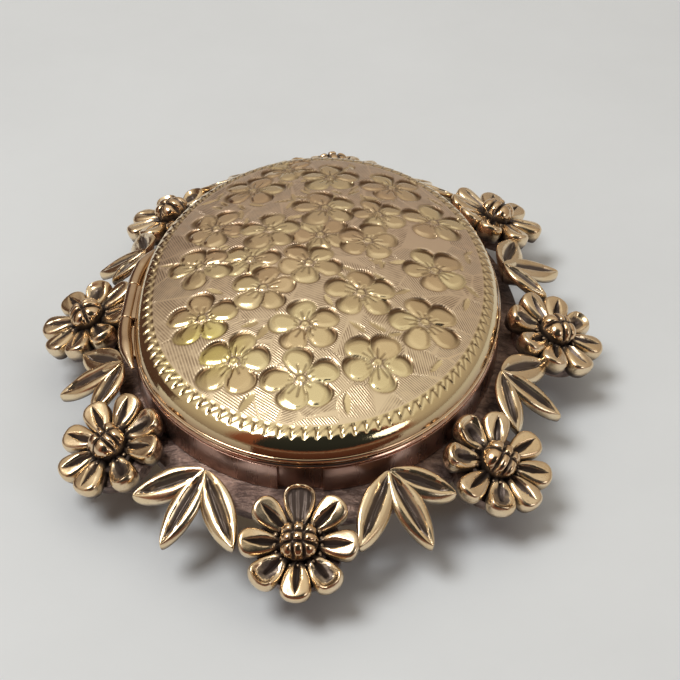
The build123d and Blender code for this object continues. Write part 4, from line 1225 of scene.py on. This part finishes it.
def make_flower(name, i):
    x, y = FLOWERS[name]
    fr = flower_frame(x, y)
    rng = np.random.default_rng(100 + i)
    b = Build()
    for k, a in enumerate(TIPS[name]):
        inward = 0.5 - 0.5 * math.cos(math.radians(a))
        if name == "front":
            kind = KINDS["front"].get(a, "split")
        else:
            kind = ["split", "split", "split", "spoon"][rng.integers(0, 4)]
            if name == "front_left" and 160 < a < 200:
                kind = "spoon"
        cup = 0.05 + 0.34 * inward + rng.uniform(-0.05, 0.05)
        W = rng.uniform(1.08, 1.20)
        Lp = rng.uniform(3.02, 3.18)
        if name == "back_left":                          # set close to the case, so its inner petals are short
            Lp *= 1 - 0.16 * inward**2
        v, q, t, pat = petal(kind, rng, L=Lp, W=W, cup=cup, groove=rng.uniform(0.85, 1.1))
        if kind == "dish":
            v[:, 1] *= 1.06
        place(b, fr, v, q, t, pat, math.radians(a), 1.36)
    # disc under the petals' inner ends, coloured fully dark as painted shade beneath the flower
    n = 72
    o, X, Y, Z = fr
    th = np.linspace(0, 2 * math.pi, n, endpoint=False)
    prof = [(0.0, -0.88), (1.2, -0.88), (1.62, -0.60), (1.95, -0.42), (2.15, -0.55), (2.18, -1.18), (0.0, -1.18)]
    V = [o + prof[0][1] * Z]
    for r, zz in prof[1:-1]:
        rr = r * (1 + 0.04 * np.sin(th * 8 + i))
        V.extend(list(o + rr[:, None] * np.cos(th)[:, None] * X + rr[:, None] * np.sin(th)[:, None] * Y + zz * Z))
    V.append(o + prof[-1][1] * Z)
    m = len(prof) - 2
    j = np.arange(n)
    quads, tris = [], [np.stack([np.zeros(n, int), 1 + j, 1 + (j + 1) % n], -1)]
    for s in range(m - 1):
        quads.append(np.stack([1 + s * n + j, 1 + (s + 1) * n + j, 1 + (s + 1) * n + (j + 1) % n, 1 + s * n + (j + 1) % n], -1))
    tris.append(np.stack([1 + (m - 1) * n + j, np.full(n, 1 + m * n), 1 + (m - 1) * n + (j + 1) % n], -1))
    b.add(np.array(V), np.vstack(quads), np.vstack(tris), pat=1.0)
    b.make(f"petals_{name}", M_PETAL, "case", [f"flower_{name}"], sharp=50)

    b = Build()
    dome(b, fr, boss_fn(name, 50 + i))
    # grains round the foot of the centre
    m = 17
    for k in range(m):
        a = 2 * math.pi * (k + rng.uniform(-0.25, 0.25)) / m
        rr, gr = rng.uniform(1.66, 1.80), rng.uniform(0.13, 0.21)
        c = o + rr * math.cos(a) * X + rr * math.sin(a) * Y + rng.uniform(-0.34, -0.20) * Z
        u, w = np.meshgrid(np.linspace(0, math.pi, 9)[1:-1], np.linspace(0, 2 * math.pi, 12, endpoint=False), indexing="ij")
        sx = rng.uniform(0.8, 1.35)
        pts = np.stack([np.sin(u) * np.cos(w) * sx, np.sin(u) * np.sin(w), np.cos(u) * 0.8], -1).reshape(-1, 3) * gr
        pts = pts[:, 0:1] * X + pts[:, 1:2] * Y + pts[:, 2:3] * Z
        V = np.vstack([c + pts, c + 0.8 * gr * Z, c - 0.8 * gr * Z])
        I, J = np.meshgrid(np.arange(6), np.arange(12), indexing="ij")
        J2 = (J + 1) % 12
        Q = np.stack([I * 12 + J, (I + 1) * 12 + J, (I + 1) * 12 + J2, I * 12 + J2], -1).reshape(-1, 4)
        j = np.arange(12)
        T = np.vstack([np.stack([np.full(12, 84), j, (j + 1) % 12], -1), np.stack([72 + (j + 1) % 12, 72 + j, np.full(12, 85)][::1], -1)])
        b.add(V, Q, T, pat=0.42)
    b.make(f"centre_{name}", M_BOSS, "case", [f"flower_centre_{name}"], sharp=60)


for i, nm in enumerate(FLOWERS):
    make_flower(nm, i)


# ---------------------------------------------------------------------------
# leaf sprays
# ---------------------------------------------------------------------------
def blade(build, A, Tp, ox, oy, top, base, hw, rng, arch=0.10, tip_lift=0.0):
    """One pointed leaf: bright margins round a dark V-cut hollow with a fine midline."""
    ns, half = 44, None
    a, tp = np.array(A, float), np.array(Tp, float)
    d = tp - a
    L = np.linalg.norm(d)
    ax = d / L
    ay = np.array([-ax[1], ax[0]])
    s = warp(ns, 0.6)
    hf = np.array([0.0, 0.05, 0.10, 0.17, 0.25, 0.34, 0.43, 0.50, 0.56, 0.62, 0.70, 0.78, 0.86, 0.93, 0.975, 1.0])
    t = np.r_[-hf[::-1][:-1], hf]
    nt = len(t)
    S, T = np.meshgrid(s, t, indexing="ij")
    w = hw * np.clip(np.sin(math.pi * S**0.94), 0, None) ** 0.68
    w = np.maximum(w, 0.012)
    u, v = S * L, T * w
    px = a[0] + u * ax[0] + v * ay[0]
    py = a[1] + u * ax[1] + v * ay[1]
    # base plane by the outward run
    run = (px - A[0]) * ox + (py - A[1]) * oy
    ztop = top[0] + top[1] * run
    zbot = base[0] + base[1] * run
    aw = np.abs(v)
    along = np.clip((S - 0.04) / 0.14, 0, 1) ** 0.6 * np.clip((0.92 - S) / 0.16, 0, 1) ** 0.7
    gi = 0.42 * w * along                              # half-width of the dark hollow
    g = np.where(gi > 0.02, np.clip(1 - aw / np.maximum(gi, 1e-3), 0, 1), 0.0)
    depth = 0.50 * np.clip(gi / 0.36, 0, 1)
    mid = 0.13 * np.exp(-((v / 0.055) ** 2)) * np.clip(gi / 0.2, 0, 1)
    crest = 0.62
    rel = np.clip(aw / np.maximum(w, 1e-3), 0, 1)
    outw = np.clip((rel - crest) / (1 - crest), 0, 1)
    inw = np.clip((crest - rel) / crest, 0, 1)
    facet = (-0.24 * outw**1.7 - 0.10 * inw**1.5) * np.clip(w / 0.5, 0, 1)
    dl = w - aw
    edge = -0.12 * np.clip(1 - dl / 0.12, 0, 1) ** 2
    wave = 0.020 * np.cos(v * 34.0) * np.clip(gi * 1.35 - aw, 0, 0.15) / 0.15 + 0.018 * np.sin(u * rng.uniform(2.2, 3.2) + rng.uniform(0, 6)) * np.sin(v * 3.0 + rng.uniform(0, 6))
    z = ztop + arch * np.sin(math.pi * S) + tip_lift * S**2 + facet + edge - depth * g**0.8 + mid + wave
    pat = np.clip((g - 0.10) * 2.6, 0, 1) * (1 - 0.45 * np.exp(-((v / 0.06) ** 2)))
    thick = 0.80 + 1.45 * np.clip(1 - S / 0.38, 0, 1) ** 1.3
    zbot = np.maximum(zbot, ztop - thick)
    top_v = np.stack([px, py, z + SZ], -1)
    I, J = np.meshgrid(np.arange(ns - 1), np.arange(nt - 1), indexing="ij")
    quads = [np.stack([I * nt + J, (I + 1) * nt + J, (I + 1) * nt + J + 1, I * nt + J + 1], -1).reshape(-1, 4)]
    ring_idx = np.concatenate([
        np.arange(ns) * nt, (ns - 1) * nt + np.arange(1, nt), np.arange(ns - 2, -1, -1) * nt + nt - 1, np.arange(nt - 2, 0, -1)])
    V = [top_v.reshape(-1, 3)]
    pats = [pat.ravel()]
    bnd = V[0][ring_idx]
    zb = (zbot + SZ).ravel()[ring_idx]
    cen = np.array([A[0] + d[0] * 0.5, A[1] + d[1] * 0.5])
    prev, cnt, m = ring_idx, ns * nt, len(ring_idx)
    # painted shade: the side walls darken towards the foot and the underside is dark
    for f, inset, pt in ((0.15, -0.01, 0.05), (0.40, 0.02, 0.35), (0.75, 0.09, 0.6), (1.0, 0.20, 0.8)):
        dirn = bnd[:, :2] - cen
        ln = np.maximum(np.linalg.norm(dirn, axis=1)[:, None], 1e-6)
        xy = bnd[:, :2] - dirn / ln * inset
        V.append(np.c_[xy, bnd[:, 2] + (zb - bnd[:, 2]) * f])
        pats.append(np.full(m, pt))
        cur = cnt + np.arange(m)
        cnt += m
        quads.append(np.stack([prev, np.roll(prev, -1), np.roll(cur, -1), cur], -1))
        prev = cur
    # flat-ish underside: strip between the two long sides
    mid_z = float(zbot[ns // 2, nt // 2]) + SZ
    V.append(np.array([[cen[0], cen[1], mid_z]]))
    pats.append(np.array([0.6]))
    tris = np.stack([prev, np.roll(prev, -1), np.full(m, cnt)], -1)
    build.add(np.vstack(V), np.vstack(quads), tris, pat=np.concatenate(pats))


def make_spray(name, i):
    a, m, s1, s2 = SPRAYS[name]
    nx, ny = a[0] / 16.06**2, a[1] / 21.35**2
    ln = math.hypot(nx, ny)
    ox, oy = nx / ln, ny / ln
    run = (m[0] - a[0]) * ox + (m[1] - a[1]) * oy
    top = (-0.75, (-3.68 + 0.75) / run)
    base = (-3.00, (-4.95 + 3.00) / run)
    rng = np.random.default_rng(300 + i)
    b = Build()
    for t in (s1, s2):
        blade(b, a, t, ox, oy, (top[0] - 0.03, top[1]), base, rng.uniform(1.08, 1.20), rng, arch=rng.uniform(0.05, 0.2))
    blade(b, a, m, ox, oy, top, base, rng.uniform(1.14, 1.24), rng, arch=rng.uniform(0.05, 0.15))
    b.make(f"leaves_{name}", M_LEAF, "case", [f"leaf_spray_{name}"], sharp=38)


for i, nm in enumerate(SPRAYS):
    make_spray(nm, i)

# ---------------------------------------------------------------------------
# CAD nodes that stay: edges eased, given their finish
# ---------------------------------------------------------------------------
KEEP = {
    "wreath_plate": (M_PLATE, 0.12, 3),
    "pin_bracket": (M_HINGE, 0.10, 3),
    "pin_rivet": (M_STEEL, 0.10, 3),
    "pin_stem": (M_STEEL, 0.05, 2),
    "catch_housing": (M_HINGE, 0.08, 3),
    "catch_roller": (M_INNER, 0.05, 2),
}
for node, (mat, width, seg) in KEEP.items():
    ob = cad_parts[node]
    if ob.material_slots:
        for sl in ob.material_slots:
            sl.material = mat
    else:
        ob.data.materials.append(mat)
    w = ob.modifiers.new("weld", "WELD")
    w.merge_threshold = 2e-6
    bv = ob.modifiers.new("ease", "BEVEL")
    bv.width = width * 0.001
    bv.segments = seg
    bv.limit_method = "ANGLE"
    bv.angle_limit = math.radians(40)
    bv.harden_normals = False
    bv.use_clamp_overlap = True

# ---------------------------------------------------------------------------
# stage, light, camera
# ---------------------------------------------------------------------------
fm = Nodes("floor_pale")
fl = fm.ramp(fm.noise(28, 6, 0.62), (0.25, (0.71, 0.755, 0.795)), (0.75, (0.77, 0.82, 0.865)))
fm.set(color=fl, rough=0.62, metal=0.0, spec=0.3)
geo = fm.node("ShaderNodeNewGeometry")
clear = fm.node("ShaderNodeBsdfTransparent")
mixs = fm.node("ShaderNodeMixShader")
fm.link(geo.outputs["Backfacing"], mixs.inputs[0])
fm.link(fm.p.outputs[0], mixs.inputs[1])
fm.link(clear.outputs[0], mixs.inputs[2])
fm.link(mixs.outputs[0], fm.out.inputs[0])
me = bpy.data.meshes.new("floor")
me.from_pydata([(-3, -3, -0.00002), (3, -3, -0.00002), (3, 3, -0.00002), (-3, 3, -0.00002)], [], [(0, 1, 2, 3)])
floor = bpy.data.objects.new("floor", me)
me.materials.append(fm.m)
bpy.context.scene.collection.objects.link(floor)



def card(name, corners, colour, under=False):
    """A dim studio card that only shows as a reflection in the metal."""
    me = bpy.data.meshes.new(name)
    me.from_pydata([tuple(c * 0.001 for c in p) for p in corners], [], [(0, 1, 2, 3)])
    ob = bpy.data.objects.new(name, me)
    mt = bpy.data.materials.new(name)
    mt.use_nodes = True
    mt.node_tree.nodes.clear()
    em = mt.node_tree.nodes.new("ShaderNodeEmission")
    em.inputs["Color"].default_value = (*colour, 1.0)
    out = mt.node_tree.nodes.new("ShaderNodeOutputMaterial")
    mt.node_tree.links.new(em.outputs[0], out.inputs[0])
    me.materials.append(mt)
    bpy.context.scene.collection.objects.link(ob)
    ob.visible_camera = False
    ob.visible_diffuse = under
    if under:                                            # lights upwards only
        back_side = mt.node_tree.nodes.new("ShaderNodeNewGeometry")
        see = mt.node_tree.nodes.new("ShaderNodeBsdfTransparent")
        both = mt.node_tree.nodes.new("ShaderNodeMixShader")
        mt.node_tree.links.new(back_side.outputs["Backfacing"], both.inputs[0])
        mt.node_tree.links.new(em.outputs[0], both.inputs[1])
        mt.node_tree.links.new(see.outputs[0], both.inputs[2])
        mt.node_tree.links.new(both.outputs[0], out.inputs[0])
    ob.visible_shadow = False
    ob.visible_transmission = False


card("card_left", [(-40, -8, 0), (-40, 52, 0), (-40, 52, 9.5), (-40, -8, 9.5)], (0.085, 0.046, 0.034))
card("card_near", [(-18, -38, 0), (44, -38, 0), (44, -38, 9.6), (-18, -38, 9.6)], (0.14, 0.060, 0.040))
card("card_under", [(-15, -20, -0.01), (15, -20, -0.01), (15, 20, -0.01), (-15, 20, -0.01)], (0.32, 0.29, 0.25), under=True)

world = bpy.data.worlds.new("studio")
bpy.context.scene.world = world
world.use_nodes = True
wt = world.node_tree
wt.nodes.clear()
wo = wt.nodes.new("ShaderNodeOutputWorld")
bg = wt.nodes.new("ShaderNodeBackground")
tc = wt.nodes.new("ShaderNodeTexCoord")
sp = wt.nodes.new("ShaderNodeSeparateXYZ")
wt.links.new(tc.outputs["Generated"], sp.inputs[0])
rampn = wt.nodes.new("ShaderNodeValToRGB")
el = rampn.color_ramp.elements
stops = [(0.0, (0.34, 0.29, 0.245)), (0.40, (0.43, 0.365, 0.30)), (0.66, (0.48, 0.41, 0.335)), (0.75, (0.64, 0.58, 0.485)), (1.0, (0.78, 0.73, 0.64))]
while len(el) < len(stops):
    el.new(0.5)
for e, (pos, c) in zip(el, stops):
    e.position = pos
    e.color = (*c, 1.0)
wt.links.new(sp.outputs["Z"], rampn.inputs["Fac"])


def wmath(op, a, b=0.0, clamp=False):
    nd = wt.nodes.new("ShaderNodeMath")
    nd.operation = op
    nd.use_clamp = clamp
    for x, sck in ((a, nd.inputs[0]), (b, nd.inputs[1])):
        if hasattr(x, "is_output"):
            wt.links.new(x, sck)
        else:
            sck.default_value = x
    return nd.outputs[0]


def wmix(fac, a, col):
    nd = wt.nodes.new("ShaderNodeMix")
    nd.data_type = "RGBA"
    wt.links.new(fac, nd.inputs["Factor"])
    wt.links.new(a, nd.inputs[6])
    nd.inputs[7].default_value = (*col, 1.0)
    return nd.outputs[2]


# something dark stands over the near side of the stage, as the bevel shows
azim = wmath("ARCTAN2", sp.outputs["X"], wmath("MULTIPLY", sp.outputs["Y"], -1.0))
elev = wmath("ARCSINE", sp.outputs["Z"])


def window(x, lo, hi, soft):
    up_ = wmath("DIVIDE", wmath("SUBTRACT", x, lo), soft, True)
    dn_ = wmath("DIVIDE", wmath("SUBTRACT", hi, x), soft, True)
    return wmath("MULTIPLY", up_, dn_)


hand = wmath("MULTIPLY", window(azim, -0.95, 1.25, 0.12), window(elev, 0.02, 1.20, 0.12))
dark = wmath("MULTIPLY", window(azim, -0.62, 1.05, 0.05), window(elev, 0.16, 1.38, 0.05))
left = wmath("MULTIPLY", window(azim, -2.70, -1.50, 0.05), window(elev, -1.5, 0.50, 0.10))
colr = wmix(left, rampn.outputs["Color"], (0.080, 0.044, 0.034))
colr = wmix(hand, colr, (0.22, 0.075, 0.045))
colr = wmix(dark, colr, (0.022, 0.024, 0.024))
wt.links.new(colr, bg.inputs["Color"])
bg.inputs["Strength"].default_value = 1.0
wt.links.new(bg.outputs[0], wo.inputs[0])


def area(name, loc, target, size, energy, color=(1, 1, 1), size_y=None):
    li = bpy.data.lights.new(name, "AREA")
    li.shape = "RECTANGLE" if size_y else "DISK"
    li.size = size
    if size_y:
        li.size_y = size_y
    li.energy = energy
    li.color = color
    ob = bpy.data.objects.new(name, li)
    bpy.context.scene.collection.objects.link(ob)
    ob.location = loc
    d = Vector(target) - Vector(loc)
    ob.rotation_euler = d.to_track_quat("-Z", "Y").to_euler()
    return ob


key_dir = Vector((-0.41, -0.12, 0.90)).normalized()
area("key", key_dir * 0.55, (0, 0, 0), 0.25, 1.55, (1.0, 0.985, 0.96))
area("fill_right", (0.45, -0.30, 0.30), (0, 0, 0.005), 0.22, 0.30, (0.98, 0.98, 1.0))

cd = bpy.data.cameras.new("camera")
cam = bpy.data.objects.new("camera", cd)
bpy.context.scene.collection.objects.link(cam)
az, elv, roll = math.radians(2.28), math.radians(40.63), math.radians(0.46)
back = Vector((math.sin(az) * math.cos(elv), -math.cos(az) * math.cos(elv), math.sin(elv)))
fw = -back
rt = fw.cross(Vector((0, 0, 1))).normalized()
up = rt.cross(fw)
rt2 = rt * math.cos(roll) + up * math.sin(roll)
up2 = -rt * math.sin(roll) + up * math.cos(roll)
m = Matrix((
    (rt2.x, up2.x, back.x, 0.0061144),
    (rt2.y, up2.y, back.y, -0.1101572),
    (rt2.z, up2.z, back.z, 0.0981349),
    (0, 0, 0, 1),
))
cam.matrix_world = m
cd.sensor_width = 36.0
cd.sensor_fit = "HORIZONTAL"
cd.lens = 91.12
cd.clip_start = 0.005
cd.clip_end = 20
bpy.context.scene.camera = cam
bpy.context.scene.view_settings.view_transform = "Standard"
bpy.context.scene.view_settings.look = "None"
